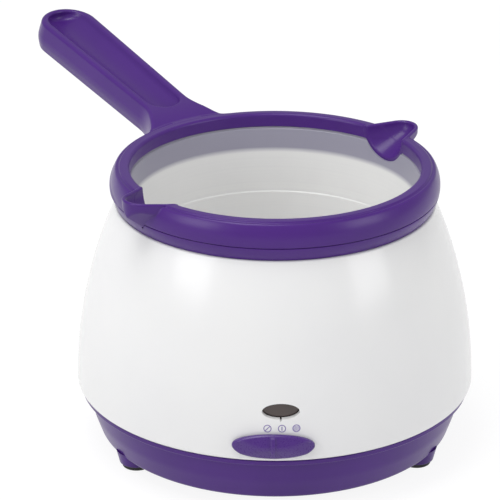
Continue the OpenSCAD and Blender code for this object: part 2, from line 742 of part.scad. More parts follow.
module switch_screws() color(steel) for (side = [-1, 1])
    translate([side * switch_screw_x, -switch_face_y + switch_plate_t, knob_z])
        rotate([90, 0, 0]) screw(screw_r, switch_plate_t + head_h * 5 / 2, head_r, head_h);

// The slider rests in the off position, half its travel to the left of the middle
module switch_slider() color(cream) translate([slider_rest_x, 0, 0]) {
    back_y = switch_face_y - cavity_depth + slide_gap / 2;
    front_prism(knob_z, back_y, nub_reach_y)
        square([nub_w, nub_w], center = true);
    front_prism(knob_z, back_y, switch_face_y - switch_plate_t - slide_gap / 2)
        square([nub_w * 2, nub_w + tab_t * 2], center = true);
}

// The knob's front: two facets that meet in a level ridge
module knob_profile() {
    half = knob_h / 2;
    polygon([
        [knob_back_r, knob_z - half],
        [knob_back_r + knob_edge_t, knob_z - half],
        [knob_back_r + knob_t, knob_z],
        [knob_back_r + knob_edge_t, knob_z + half],
        [knob_back_r, knob_z + half]
    ]);
}

module knob_head() {
    face_y = knob_back_r + knob_t;
    intersection() {
        rotate_extrude($fn = fine) knob_profile();
        front_prism(knob_z, knob_back_r * cos(15), face_y + over) oval(knob_w, knob_h);
        translate([0, knob_crown_r - face_y, 0]) cylinder(r = knob_crown_r, h = seam_r, $fn = fine);
    }
}

module knob_rib() {
    height = knob_h - knob_edge_t;
    intersection() {
        front_prism(knob_z, knob_back_r, seam_r * 2) square([knob_rib_w, height], center = true);
        translate([0, 0, knob_z - height / 2])
            cylinder(r = knob_back_r + knob_t + knob_rib_t, h = height, $fn = fine);
    }
}

module knob_stem() {
    guard = slide_gap * 2;
    inner_r = switch_face_y + slide_gap * 4;
    back_r = side_r(knob_z, shell_wall) - slide_gap * 3 / 2;
    difference() {
        intersection() {
            union() {
                front_prism(knob_z, 0, seam_r * 2) square([stem_w, stem_h], center = true);
                intersection() {
                    front_prism(knob_z, 0, seam_r * 2)
                        square([stem_w, stem_h + guard * 2 + slide_gap * 2], center = true);
                    cylinder(r = back_r, h = seam_r, $fn = fine);
                }
            }
            cylinder(r = knob_back_r + knob_edge_t / 2, h = seam_r, $fn = fine);
        }
        translate([0, 0, knob_z - knob_h]) cylinder(r = inner_r, h = knob_h * 2, $fn = fine);
        front_prism(knob_z, 0, nub_reach_y + slide_gap)
            square([nub_w + slide_gap, nub_w + slide_gap], center = true);
    }
}

module switch_knob() color(purple) rotate([0, 0, -knob_travel / 2]) {
    knob_head();
    knob_rib();
    knob_stem();
}

module indicator_lens() color([0.23, 0.16, 0.14, 0.8]) intersection() {
    union() {
        front_prism(lens_z, lens_back_y, seam_r * 2) oval(lens_w, lens_h);
        front_prism(lens_z, lens_back_y, lens_back_y + lens_flange)
            oval(lens_w + lens_flange * 2, lens_h + lens_flange * 2);
    }
    rotate_extrude($fn = fine) side_region(-lens_proud, 0, rim_z);
}

module lamp_holder() color(white) {
    front_y = lens_back_y;
    back_y = front_y - lamp_r * 4;
    axis_y = (front_y + back_y) / 2;
    difference() {
        front_prism(lens_z, back_y, front_y)
            square([lens_w + lens_flange * 2, lamp_r * 2 + lens_flange * 2], center = true);
        front_prism(lens_z, axis_y, front_y + over) square([lamp_len, lamp_r * 2], center = true);
        translate([0, -axis_y, lens_z]) rotate([0, 90, 0])
            cylinder(r = lamp_r + thread_gap, h = lens_w * 2, center = true);
    }
}

lamp_y = -(lens_back_y - lamp_r * 2);

module indicator_lamp() color([0.95, 0.55, 0.25]) {
    rod([-lamp_len / 2, lamp_y, lens_z], [lamp_len / 2 - lamp_r, lamp_y, lens_z], lamp_r);
    translate([lamp_len / 2 - lamp_r, lamp_y, lens_z]) rotate([0, 90, 0]) sphere(lamp_r);
    rod([-lamp_len * 2 / 3, lamp_y, lens_z], [lamp_len * 2 / 3, lamp_y, lens_z], lead_r);
}

// The diode hangs under the middle and right tabs of the switch, for the keep-warm position
module warm_diode() color(rubber) {
    pitch = switch_w / 3.5;
    lead_y = -tab_y - tab_w / 2;
    top_z = knob_z - tab_w / 2 - solder_gap;
    body_z = knob_z - switch_h / 2 - fuse_r * 2;
    rod([-fuse_r / 2, lead_y, body_z], [pitch + fuse_r / 2, lead_y, body_z], fuse_r);
    for (x = [0, pitch]) rod([x, lead_y, body_z], [x, lead_y, top_z], lead_r);
}

module terminal_block() color(cream) difference() {
    translate([-block_size[0] / 2, block_y, pan_floor_z]) cube(block_size);
    mid_y = block_y + block_size[1] / 2;
    mid_z = pan_floor_z + block_size[2] / 2;
    for (side = [-1, 1]) translate([side * block_size[0] / 4, mid_y, mid_z]) {
        cylinder(r = head_r, h = block_size[2]);
        rotate([90, 0, 0]) cylinder(r = wire_r + thread_gap, h = block_size[1] * 2, center = true);
    }
}

module inlet_bush() color(rubber) translate([0, inlet_face_y, inlet_z]) rotate([90, 0, 0])
difference() {
    union() {
        translate([0, 0, -inlet_flange_t]) cylinder(r = inlet_flange_r, h = inlet_flange_t);
        cylinder(r = inlet_neck_r, h = inlet_flange_t * 3 + thread_gap);
        translate([0, 0, inlet_flange_t * 3 + thread_gap])
            cylinder(r = inlet_neck_r + foot_rim, h = inlet_flange_t);
    }
    translate([0, 0, -inlet_flange_t - over]) cylinder(r = inlet_bore_r, h = inlet_flange_t * 8);
}

// Places in the wiring bay as shares of its radius and its height
function bay(share) = [
    share[0] * base_foot_r,
    share[1] * base_foot_r,
    pan_floor_z + share[2] * (liner_under_z - pan_floor_z)
];
live_shares = [[-0.24, 0.46, 0.1], [-0.42, 0, 0.1], [-0.16, -0.5, 0.3], [-0.14, -0.7, 0.55]];
melt_shares = [[0.3, -0.6, 0.62], [0.44, 0, 0.7], [0.3, 0.3, 0.86]];
fuse_shares = [[-0.24, 0.3, 0.78], [-0.14, 0.1, 0.4]];
heat_shares = [[-0.04, -0.2, 0.36], [-0.24, -0.34, 0.5]];
return_shares = [[0.2, 0.44, 0.12], [0.32, -0.1, 0.12], [0.27, -0.36, 0.4]];

module wiring() color([0.75, 0.1, 0.1]) {
    tab_x = switch_w / 3.5;
    end_gap = wire_r + solder_gap;
    tab_end_y = -tab_y + end_gap;
    stat_x = thermostat_cap_r / 2;
    stat_z = thermostat_tab_z - end_gap;
    block_z = pan_floor_z + block_size[2] / 2;
    block_x = block_size[0] / 4;
    lead_z = lead_end_z - end_gap;
    drop = wire_r * 4;
    heat_in = heater_leads[0];
    heat_out = heater_leads[1];
    wire(concat([[-block_x, block_y + wire_r, block_z], [-block_x, block_y - drop, block_z]],
        [for (s = live_shares) bay(s)],
        [[-tab_x, tab_end_y + drop, knob_z], [-tab_x, tab_end_y, knob_z]]), wire_r);
    melt_z = knob_z + tab_w / 4;
    wire(concat([[tab_x, tab_end_y, melt_z], [tab_x, tab_end_y + drop * 2, melt_z + tab_w / 4]],
        [for (s = melt_shares) bay(s)],
        [[fuse_len + drop, fuse_y, fuse_z], [fuse_len + end_gap, fuse_y, fuse_z]]), wire_r);
    wire(concat([[-fuse_len - end_gap, fuse_y, fuse_z], [-fuse_len - drop, fuse_y, fuse_z]],
        [for (s = fuse_shares) bay(s)],
        [[-stat_x, 0, stat_z - drop], [-stat_x, 0, stat_z]]), wire_r);
    wire(concat([[stat_x, 0, stat_z], [stat_x, 0, stat_z - drop]],
        [for (s = heat_shares) bay(s)],
        [[heat_in[0], heat_in[1], lead_z - drop], [heat_in[0], heat_in[1], lead_z]]), wire_r);
    wire(concat([[block_x, block_y + wire_r, block_z], [block_x, block_y - drop, block_z]],
        [for (s = return_shares) bay(s)],
        [[heat_out[0], heat_out[1], lead_z - drop], [heat_out[0], heat_out[1], lead_z]]), wire_r);
    for (side = [-1, 1]) wire([
        [side * (lamp_len * 2 / 3 + end_gap), lamp_y, lens_z],
        [side * (lens_w / 2 + drop), lamp_y, lens_z],
        [side * (lens_w / 2 + drop), -tab_y - tab_w, lens_z - lens_h / 2],
        [side * tab_x, -tab_y - tab_w / 2, knob_z + switch_h / 2 + drop / 2],
        [side * tab_x, -tab_y - tab_w / 2, knob_z + tab_w / 2 + end_gap]
    ], wire_r / 2);
}

// The pot's inside in profile, grown by the given thickness
module pot_region(grow) {
    skin = grow / cos(pot_draft);
    foot_z = pot_step_z - pot_step_w;
    cup_region(pot_mouth_r - pot_step_w + skin, pot_rim_z, pot_floor_z - grow, pot_corner_r + grow);
    polygon([
        [0, foot_z],
        [pot_r(foot_z) - pot_step_w + skin, foot_z],
        [pot_r(pot_step_z) + skin, pot_step_z],
        [pot_mouth_r + skin, pot_rim_z],
        [0, pot_rim_z]
    ]);
}

// The cones of both troughs, grown by the given thickness, with rounded tips
module beak_cones(grow) {
    skin = grow / cos(beak_angle);
    tip = (beak_tip_r + skin) / cos(beak_angle);
    tip_z = beak_len - tip * sin(beak_angle);
    lead = beak_len / 2;
    for (side = [0, 180]) rotate([0, 0, side]) translate([ring_in_r, 0, ring_top_z])
        rotate([0, 90 - beak_rise, 0]) rotate_extrude() polygon(concat(
            [[0, -lead], [beak_mouth_r + beak_slope * lead + skin, -lead]],
            [for (step = [0 : 5]) let (a = beak_angle + step * (80 - beak_angle) / 5)
                [tip * cos(a), tip_z + tip * sin(a)]],
            [[0, tip_z + tip * sin(80)]]
        ));
}

// Everything below the planes of the two lips
module below_lips() {
    reach = ring_bulge_r * 2;
    for (side = [0, 180]) rotate([0, 0, side]) translate([ring_in_r, 0, ring_top_z])
        rotate([0, -beak_rise, 0]) translate([-beak_len / 2, -reach / 2, -reach])
            cube([reach, reach, reach]);
}

module beak_walls() {
    difference() {
        intersection() {
            beak_cones(beak_wall);
            below_lips();
        }
        cylinder(r = ring_in_r, h = ring_top_z * 2, $fn = fine);
    }
}

module melting_pot() color(pot_grey) rotate([0, 0, pot_turn]) difference() {
    rotate_extrude($fn = fine) difference() {
        union() {
            pot_region(pot_wall);
            translate([0, pot_rim_z - pot_wall]) square([pot_flange_r, pot_wall]);
        }
        pot_region(0);
    }
    beak_cones(beak_wall + fit_gap);
    ring_copies(collar_screw_count, collar_screw_circle_r, 180 / collar_screw_count)
        translate([0, 0, pot_rim_z - pot_wall - over])
            cylinder(r = collar_screw_r + screw_play, h = pot_wall + over * 2);
}

module rim_seal() color([0.85, 0.85, 0.85]) rotate([0, 0, pot_turn]) difference() {
    translate([0, 0, pot_rim_z]) difference() {
        cylinder(r = pot_flange_r - fit_gap, h = seal_t, $fn = fine);
        translate([0, 0, -over]) cylinder(r = ring_in_r + fit_gap, h = seal_t + over * 2, $fn = fine);
    }
    beak_cones(beak_wall + fit_gap);
    ring_copies(collar_screw_count, collar_screw_circle_r, 180 / collar_screw_count)
        translate([0, 0, pot_rim_z - over])
            cylinder(r = collar_screw_r + screw_play, h = seal_t + over * 2);
}

module lower_collar() color(purple) rotate([0, 0, pot_turn]) difference() {
    rotate_extrude($fn = fine) {
        foot_in_r = pot_r(rim_z) + pot_skin + fit_gap * 2;
        top_in_r = pot_r(ledge_z) + pot_skin + fit_gap * 2;
        riser_r = channel_out_r - fit_gap;
        polygon([
            [foot_in_r, rim_z],
            [ring_r(rim_z, 0) - ring_bead_r, rim_z],
            [riser_r, ledge_z],
            [top_in_r, ledge_z]
        ]);
        intersection() {
            translate([ring_mid_r, ring_bulge_z]) circle(ring_curve_r, $fn = fine);
            translate([collar_screw_circle_r, rim_z]) square([ring_curve_r, parting_z - rim_z]);
        }
    }
    beak_cones(beak_wall + fit_gap);
    ring_copies(collar_screw_count, collar_screw_circle_r, 180 / collar_screw_count) {
        translate([0, 0, rim_z - over])
            cylinder(r = collar_head_r + fit_gap, h = collar_head_z - rim_z + over);
        translate([0, 0, rim_z]) cylinder(r = collar_screw_r + screw_play, h = ring_top_z);
    }
}

module collar_screws() color(steel) rotate([0, 0, pot_turn])
    ring_copies(collar_screw_count, collar_screw_circle_r, 180 / collar_screw_count)
        translate([0, 0, collar_head_z])
            screw(collar_screw_r, channel_top_z - collar_head_z, collar_head_r, head_h);

module collar_profile() {
    edge_z = ring_top_z - ring_edge_r;
    difference() {
        intersection() {
            translate([ring_mid_r, ring_bulge_z]) circle(ring_curve_r, $fn = fine);
            translate([ring_in_r, parting_z + parting_gap])
                square([ring_curve_r, ring_top_z - parting_z - parting_gap]);
        }
        translate([channel_in_r, parting_z]) square([channel_out_r - channel_in_r, channel_top_z - parting_z]);
        translate([0, parting_z]) square([channel_in_r + over, seal_top_z - parting_z]);
        translate([ring_r(edge_z, ring_edge_r), edge_z])
            edge_cut(ring_edge_r, asin((edge_z - ring_bulge_z) / (ring_curve_r - ring_edge_r)), 90);
        translate([ring_in_r + ring_bead_r, ring_top_z - ring_bead_r]) edge_cut(ring_bead_r, 90, 180);
    }
}

// Places children along the handle: x runs outwards from the collar's inner wall, z = 0 is its top
module along_handle() {
    rotate([0, 0, 90]) translate([ring_in_r, 0, ring_top_z]) rotate([0, -handle_rise, 0]) children();
}

// The fillets on both sides of the handle's root, in plan
module root_fillets() {
    mid_y = handle_root_w - fit_gap + handle_fillet_r;
    mid_x = sqrt(pow(ring_bulge_r - fit_gap + handle_fillet_r, 2) - pow(mid_y, 2));
    inner_r = (ring_in_r + ring_bulge_r) / 2;
    for (side = [0, 1]) mirror([0, side, 0]) difference() {
        polygon([
            [inner_r, 0],
            [mid_x, 0],
            [mid_x, mid_y],
            inner_r * [cos(atan2(mid_y, mid_x)), sin(atan2(mid_y, mid_x))]
        ]);
        translate([mid_x, mid_y]) circle(handle_fillet_r);
    }
}

module handle_solid() {
    ends = [[grip_root_x, handle_root_w], [grip_x, handle_tip_w]];
    along_handle() hull() for (end = ends) translate([end[0], 0, 0]) {
        translate([0, 0, -handle_widest])
            cylinder(r1 = end[1] + handle_swell, r2 = end[1], h = handle_widest, $fn = 64);
        translate([0, 0, -handle_h])
            cylinder(r1 = end[1] + handle_swell - handle_tuck, r2 = end[1] + handle_swell,
                h = handle_h - handle_widest, $fn = 64);
    }
    intersection() {
        rotate([0, 0, 90]) linear_extrude(ring_top_z * 2) root_fillets();
        along_handle() translate([-handle_len, -handle_len, -handle_h * 2])
            cube([handle_len * 2, handle_len * 2, handle_h * 2]);
    }
}

// The thumb scoop: a trough cut by a long cylinder, within an outline that widens outwards
module scoop_cut() {
    near = handle_root_w - scoop_rim;
    far = handle_tip_w - scoop_rim;
    bowl_r = (far * far + scoop_depth * scoop_depth) / (2 * scoop_depth);
    along_handle() intersection() {
        translate([0, 0, -handle_h]) round_bar(grip_root_x * 2, near, grip_x, far, handle_h * 2);
        translate([0, 0, bowl_r - scoop_depth]) rotate([0, 90, 0])
            cylinder(r = bowl_r, h = handle_len * 2, $fn = fine);
    }
}

module handle_cavity() {
    inner = cover_frame + ring_bead_r;
    along_handle() {
        translate([0, 0, -handle_h - over])
            round_bar(cavity_x, handle_root_w - cover_frame, grip_x, handle_tip_w - cover_frame,
                cover_t + over);
        difference() {
            translate([0, 0, -handle_h])
                round_bar(cavity_x, handle_root_w - inner, grip_x, handle_tip_w - inner,
                    handle_h - scoop_depth - handle_skin);
            for (x = handle_screws_x) translate([x, 0, -cover_top])
                cylinder(r = head_r, h = handle_h);
        }
        for (x = handle_screws_x) translate([x, 0, -handle_h])
            cylinder(r = screw_r + thread_gap, h = handle_h - scoop_depth - handle_skin);
    }
}

module upper_collar() color(purple) rotate([0, 0, pot_turn]) difference() {
    boss_h = channel_top_z - seal_top_z;
    union() {
        rotate_extrude($fn = fine) collar_profile();
        intersection() {
            ring_copies(collar_screw_count, collar_screw_circle_r, 180 / collar_screw_count)
                translate([0, 0, seal_top_z])
                    cylinder(r = collar_head_r + fit_gap * 2, h = boss_h + ring_wall / 2);
            translate([0, 0, seal_top_z]) difference() {
                cylinder(r = channel_out_r + over, h = ring_top_z, $fn = fine);
                cylinder(r = ring_in_r + over, h = ring_top_z, $fn = fine);
            }
        }
        beak_walls();
        difference() {
            handle_solid();
            cylinder(r = ring_in_r + over, h = ring_top_z * 2, $fn = fine);
            cylinder(r = channel_out_r, h = seal_top_z, $fn = fine);
            cylinder(r = ring_bulge_r + handle_h, h = parting_z + parting_gap, $fn = fine);
        }
    }
    beak_cones(0);
    ring_copies(collar_screw_count, collar_screw_circle_r, 180 / collar_screw_count)
        translate([0, 0, parting_z])
            cylinder(r = collar_screw_r + thread_gap, h = channel_top_z + screw_r / 2 - parting_z);
    scoop_cut();
    handle_cavity();
}

module handle_cover() color(purple) rotate([0, 0, pot_turn]) along_handle() difference() {
    frame_w = cover_frame + fit_gap;
    translate([0, 0, -handle_h])
        round_bar(cavity_x, handle_root_w - frame_w, grip_x, handle_tip_w - frame_w, cover_t);
    for (x = handle_screws_x) translate([x, 0, -handle_h - over]) {
        cylinder(r = head_r + fit_gap, h = cover_t / 2 + over);
        cylinder(r = screw_r + screw_play, h = cover_t + over * 2);
    }
}

module handle_screws() color(steel) rotate([0, 0, pot_turn]) along_handle()
    for (x = handle_screws_x) translate([x, 0, -handle_h + cover_t / 2])
        screw(screw_r, handle_h - scoop_depth - handle_skin - cover_t, head_r, cover_t / 2);

outer_shell();
well_liner();
base_pan();
foot_pads();
base_screws();
liner_screws();
heater_plate();
heating_element();
heater_clamp();
heater_screws();
thermostat();
thermostat_screws();
thermal_fuse();
fuse_clip();
switch_body();
switch_screws();
warm_diode();
indicator_lens();
lamp_holder();
indicator_lamp();
terminal_block();
inlet_bush();
wiring();
switch_knob();
switch_slider();
melting_pot();
upper_collar();
lower_collar();
rim_seal();
collar_screws();
handle_cover();
handle_screws();
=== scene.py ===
import math

import bmesh
import bpy
import numpy as np
from mathutils import Matrix, Vector


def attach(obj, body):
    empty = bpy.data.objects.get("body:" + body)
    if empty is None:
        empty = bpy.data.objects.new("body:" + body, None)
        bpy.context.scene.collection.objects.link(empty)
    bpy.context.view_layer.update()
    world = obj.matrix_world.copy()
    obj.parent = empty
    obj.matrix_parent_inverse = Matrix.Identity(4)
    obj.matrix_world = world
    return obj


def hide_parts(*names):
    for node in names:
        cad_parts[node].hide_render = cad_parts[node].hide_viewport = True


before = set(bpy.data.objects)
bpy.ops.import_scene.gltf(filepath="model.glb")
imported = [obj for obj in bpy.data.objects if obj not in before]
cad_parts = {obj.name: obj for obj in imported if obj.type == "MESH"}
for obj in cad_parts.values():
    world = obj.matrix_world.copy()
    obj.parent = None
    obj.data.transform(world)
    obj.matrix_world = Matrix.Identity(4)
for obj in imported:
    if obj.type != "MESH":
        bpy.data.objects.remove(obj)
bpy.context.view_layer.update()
scene = bpy.context.scene


# BASE PAN. One satin purple ABS moulding. Its wall leans out to the lip that the shell stands
# on; the floor has three foot bosses, four deep screw wells and a ring of vent slots.
pan_z = 6.0
pan_wall = 2.4
pan_floor_z = pan_z + pan_wall
shoulder_r, shoulder_z = 81.4, 15.5
lip_r, lip_z = 86.6, 27.7
tongue_in_r, tongue_r, tongue_z = 83.8, 85.4, 30.7
foot_circle = 70.8
post_circle = 72.0
post_z = 20
pillar_circle = 53.5
screw_well_r = 3.1
inlet_z = 16.6
inlet_y = 82.0


def smooth(piece, sharp=30.0):
    """Shades a piece smoothly, with crisp edges where its faces turn by more than sharp degrees."""
    mesh = piece.data
    mesh.polygons.foreach_set("use_smooth", np.ones(len(mesh.polygons), bool))
    mesh.set_sharp_from_angle(angle=math.radians(sharp))


def solid(name, points, faces, sharp=30.0):
    """A piece from points in millimetres."""
    mesh = bpy.data.meshes.new(name)
    places = (np.asarray(points, float) / 1000).tolist()
    mesh.from_pydata(places, [], [list(map(int, face)) for face in faces])
    piece = bpy.data.objects.new(name, mesh)
    scene.collection.objects.link(piece)
    smooth(piece, sharp)
    return piece


def rounded(corners, parts=6):
    """A closed outline with each corner (r, z, radius) rounded, and a point beside each rounding
    that keeps the flat beyond it flat."""
    outline = []
    for index, (r, z, radius) in enumerate(corners):
        here = np.array([r, z])
        if radius == 0:
            outline.append(here)
            continue
        back = np.array(corners[index - 1][:2]) - here
        ahead = np.array(corners[(index + 1) % len(corners)][:2]) - here
        back, ahead = back / np.hypot(*back), ahead / np.hypot(*ahead)
        half = math.acos(np.clip(back @ ahead, -1, 1)) / 2
        reach = radius / math.tan(half)
        middle = here + (back + ahead) / np.hypot(*(back + ahead)) * radius / math.sin(half)
        start, end = here + back * reach - middle, here + ahead * reach - middle
        from_a = math.atan2(start[1], start[0])
        turn = (math.atan2(end[1], end[0]) - from_a + math.pi) % (2 * math.pi) - math.pi
        beyond = reach + radius * 0.2
        outline.append(here + back * beyond)
        for step in range(parts + 1):
            a = from_a + turn * step / parts
            outline.append(middle + radius * np.array([math.cos(a), math.sin(a)]))
        outline.append(here + ahead * beyond)
    return outline


def turned(name, outline, steps=360, sharp=30.0):
    """A solid of revolution round Z from an outline of (r, z) that runs counter-clockwise."""
    rim = np.array(outline, float)
    angle = np.arange(steps) * 2 * math.pi / steps
    points = np.stack([
        np.outer(np.cos(angle), rim[:, 0]),
        np.outer(np.sin(angle), rim[:, 0]),
        np.broadcast_to(rim[:, 1], (steps, len(rim))),
    ], -1).reshape(-1, 3)
    low = np.arange(len(rim))
    up = np.roll(low, -1)
    here = np.arange(steps)[:, None] * len(rim)
    there = np.roll(here, -1, 0)
    faces = np.stack([here + low, there + low, there + up, here + up], -1).reshape(-1, 4)
    piece = solid(name, points, faces)
    work = bmesh.new()
    work.from_mesh(piece.data)
    bmesh.ops.remove_doubles(work, verts=work.verts, dist=1e-7)
    work.to_mesh(piece.data)
    work.free()
    smooth(piece, sharp)
    return piece


def prism(name, outline, low, high, top=None):
    """An outline in X and Y, drawn out along Z, to another outline if one is given."""
    count = len(outline)
    points = np.vstack([
        np.column_stack([outline, np.full(count, low)]),
        np.column_stack([outline if top is None else top, np.full(count, high)]),
    ])
    ring = np.arange(count)
    faces = [list(ring[::-1]), list(ring + count)]
    faces += [[i, (i + 1) % count, (i + 1) % count + count, i + count] for i in ring]
    return solid(name, points, faces)


def fixed(piece):
    """Makes the result of a piece's modifiers its own plain mesh."""
    bpy.context.view_layer.update()
    graph = bpy.context.evaluated_depsgraph_get()
    made = bpy.data.meshes.new_from_object(piece.evaluated_get(graph))
    piece.modifiers.clear()
    piece.data = made
    return piece


def carved(piece, tools, sharp=30.0):
    """Cuts the tools out of a piece."""
    for tool in tools:
        step = piece.modifiers.new("carve", "BOOLEAN")
        step.operation = "DIFFERENCE"
        step.solver = "EXACT"
        step.object = tool
        fixed(piece)
        bpy.data.objects.remove(tool)
    smooth(piece, sharp)
    return piece


def moved(piece, shift=(0, 0, 0), turn=0.0, axis="Z"):
    """Turns a piece's mesh round an axis through the origin, then shifts it, in millimetres."""
    shifted = Matrix.Translation([v / 1000 for v in shift])
    piece.data.transform(shifted @ Matrix.Rotation(math.radians(turn), 4, axis))
    return piece


def joined(pieces, name):
    """Several pieces as one mesh."""
    work = bmesh.new()
    for piece in pieces:
        work.from_mesh(piece.data)
    made = bpy.data.meshes.new(name)
    work.to_mesh(made)
    work.free()
    for piece in pieces[1:]:
        bpy.data.objects.remove(piece)
    pieces[0].data = made
    pieces[0].name = name
    return pieces[0]


def node(tree, kind, inputs=None, **settings):
    """Adds a node, sets it up and fills its sockets with values or links."""
    made = tree.nodes.new(kind)
    for key, value in settings.items():
        setattr(made, key, value)
    for key, value in (inputs or {}).items():
        if isinstance(value, bpy.types.NodeSocket):
            tree.links.new(value, made.inputs[key])
        else:
            made.inputs[key].default_value = value
    return made


def new_tree(name, kind, inputs, outputs):
    """A node group with named sockets, and its input and output nodes."""
    tree = bpy.data.node_groups.new(name, kind)
    for side, sockets in (("INPUT", inputs), ("OUTPUT", outputs)):
        for socket, form in sockets.items():
            tree.interface.new_socket(socket, in_out=side, socket_type="NodeSocket" + form)
    return tree, node(tree, "NodeGroupInput").outputs, node(tree, "NodeGroupOutput").inputs


# Copies of an item in a ring round Z, each turned to face outwards
ring_tree, given, shown = new_tree(
    "copies in a ring", "GeometryNodeTree",
    {"Item": "Geometry", "Count": "Int", "Radius": "Float", "Start angle": "Float",
     "Finish": "Material"},
    {"Ring": "Geometry"},
)
index = node(ring_tree, "GeometryNodeInputIndex").outputs[0]
pitch = node(ring_tree, "ShaderNodeMath", {0: 2 * math.pi, 1: given["Count"]},
             operation="DIVIDE").outputs[0]
turn = node(ring_tree, "ShaderNodeMath", {0: index, 1: pitch, 2: given["Start angle"]},
            operation="MULTIPLY_ADD").outputs[0]
along_x = node(ring_tree, "ShaderNodeMath", {0: turn}, operation="COSINE").outputs[0]
along_y = node(ring_tree, "ShaderNodeMath", {0: turn}, operation="SINE").outputs[0]
outwards = node(ring_tree, "ShaderNodeCombineXYZ", {"X": along_x, "Y": along_y}).outputs[0]
spots = node(ring_tree, "ShaderNodeVectorMath", {0: outwards, "Scale": given["Radius"]},
             operation="SCALE").outputs[0]
points = node(ring_tree, "GeometryNodePoints",
              {"Count": given["Count"], "Position": spots}).outputs[0]
facing = node(ring_tree, "ShaderNodeCombineXYZ", {"Z": turn}).outputs[0]
copies = node(ring_tree, "GeometryNodeInstanceOnPoints",
              {"Points": points, "Instance": given["Item"], "Rotation": facing}).outputs[0]
real = node(ring_tree, "GeometryNodeRealizeInstances", {0: copies}).outputs[0]
coated = node(ring_tree, "GeometryNodeSetMaterial",
              {"Geometry": real, "Material": given["Finish"]})
ring_tree.links.new(coated.outputs[0], shown["Ring"])


def ring_of(piece, count, radius, start, finish=None):
    """Repeats a piece in a ring of this radius in millimetres, the first at start degrees."""
    step = piece.modifiers.new("ring", "NODES")
    step.node_group = ring_tree
    names = {s.name: s.identifier for s in ring_tree.interface.items_tree if s.in_out == "INPUT"}
    step[names["Count"]] = count
    step[names["Radius"]] = radius / 1000
    step[names["Start angle"]] = math.radians(start)
    step[names["Finish"]] = finish
    return fixed(piece)


def srgb(*channels):
    """A colour given as screen values from 11 to 255."""
    return tuple(((c / 255 + 0.055) / 1.055) ** 2.4 for c in channels) + (1.0,)


# The fine grain, slow colour drift and uneven gloss that every moulded piece has
grain_tree, given, shown = new_tree(
    "moulding grain", "ShaderNodeTree",
    {"Colour": "Color", "Shade": "Color", "Roughness": "Float", "Grain": "Float",
     "Cloud": "Float"},
    {"Colour": "Color", "Roughness": "Float", "Height": "Float"},
)
place = node(grain_tree, "ShaderNodeTexCoord").outputs["Object"]
cloud = node(grain_tree, "ShaderNodeTexNoise",
             {"Vector": place, "Scale": given["Cloud"], "Detail": 3.0}).outputs["Fac"]
fine = node(grain_tree, "ShaderNodeTexNoise",
            {"Vector": place, "Scale": given["Grain"], "Detail": 2.0}).outputs["Fac"]
share = node(grain_tree, "ShaderNodeMapRange",
             {"Value": cloud, "From Min": 0.35, "From Max": 0.65}).outputs[0]
drift = node(grain_tree, "ShaderNodeMix", {0: share, 6: given["Colour"], 7: given["Shade"]},
             data_type="RGBA")
gloss = node(grain_tree, "ShaderNodeMath", {0: fine, 1: 0.08, 2: given["Roughness"]},
             operation="MULTIPLY_ADD")
grain_tree.links.new(drift.outputs[2], shown["Colour"])
grain_tree.links.new(gloss.outputs[0], shown["Roughness"])
grain_tree.links.new(fine, shown["Height"])


relief_depth = 0.0002


def surfaced(name, tree, values, lift, **constants):
    """A material whose colour, gloss and relief come from a shared group."""
    finish = bpy.data.materials.new(name)
    finish.use_nodes = True
    links = finish.node_tree.links
    surface = finish.node_tree.nodes["Principled BSDF"]
    look = node(finish.node_tree, "ShaderNodeGroup", values, node_tree=tree)
    relief = node(finish.node_tree, "ShaderNodeBump",
                  {"Strength": lift, "Distance": relief_depth, "Height": look.outputs["Height"]})
    links.new(look.outputs["Colour"], surface.inputs["Base Color"])
    links.new(look.outputs["Roughness"], surface.inputs["Roughness"])
    links.new(relief.outputs["Normal"], surface.inputs["Normal"])
    for socket, value in constants.items():
        surface.inputs[socket.replace("_", " ")].default_value = value
    return finish


def moulded(name, colour, shade, roughness, grain=1800.0, cloud=22.0, lift=0.12, **constants):
    """A moulded plastic or rubber."""
    values = {"Colour": colour, "Shade": shade, "Roughness": roughness, "Grain": grain,
              "Cloud": cloud}
    return surfaced(name, grain_tree, values, lift, **constants)


purple = moulded("satin purple ABS", srgb(76, 36, 126), srgb(72, 34, 121), 0.26,
                 Specular_IOR_Level=0.32)

lip_under_z = lip_z - 2.2
pan = turned("base_moulding", rounded([
    (0, pan_z, 0), (78.1, pan_z, 2.2), (shoulder_r, shoulder_z, 22), (83.2, lip_under_z, 0.4),
    (lip_r, lip_under_z, 0.6), (lip_r, lip_z, 0.4), (tongue_r, lip_z, 0.1),
    (tongue_r, tongue_z, 0.3), (tongue_in_r, tongue_z, 0.3), (tongue_in_r, lip_z, 0),
    (81, lip_z, 0.2), (81, 26.4, 0.2), (76.2, pan_floor_z, 0.8), (0, pan_floor_z, 0),
]))
vent_half, vent_r = 9, 1.5
half_turn = np.linspace(-math.pi / 2, math.pi / 2, 9)
vent_end = [(vent_half + vent_r * math.cos(a), vent_r * math.sin(a)) for a in half_turn]
vent_outline = vent_end + [(-x, -y) for x, y in vent_end]
vents = ring_of(prism("vents", vent_outline, pan_z - 1, pan_floor_z + 1), 12, 40, 15)
well = turned("wells", [(0, 5), (screw_well_r, 5), (screw_well_r, 9), (0, 9)], 40)
carved(pan, [vents, ring_of(well, 4, post_circle, 45)])
post = turned("post", rounded([
    (screw_well_r, 6.4, 0), (5.8, 6.4, 0), (5.8, post_z, 0.3), (1.6, post_z, 0), (1.6, 16, 0),
    (screw_well_r, 16, 0),
]), 48)
posts = ring_of(post, 4, post_circle, 45)
pillar = turned("pillar", rounded([(0, 7, 0), (3.6, 7, 0), (3.6, 54.8, 0.3), (0, 54.8, 0)]), 48)
pillars = ring_of(pillar, 3, pillar_circle, 0)
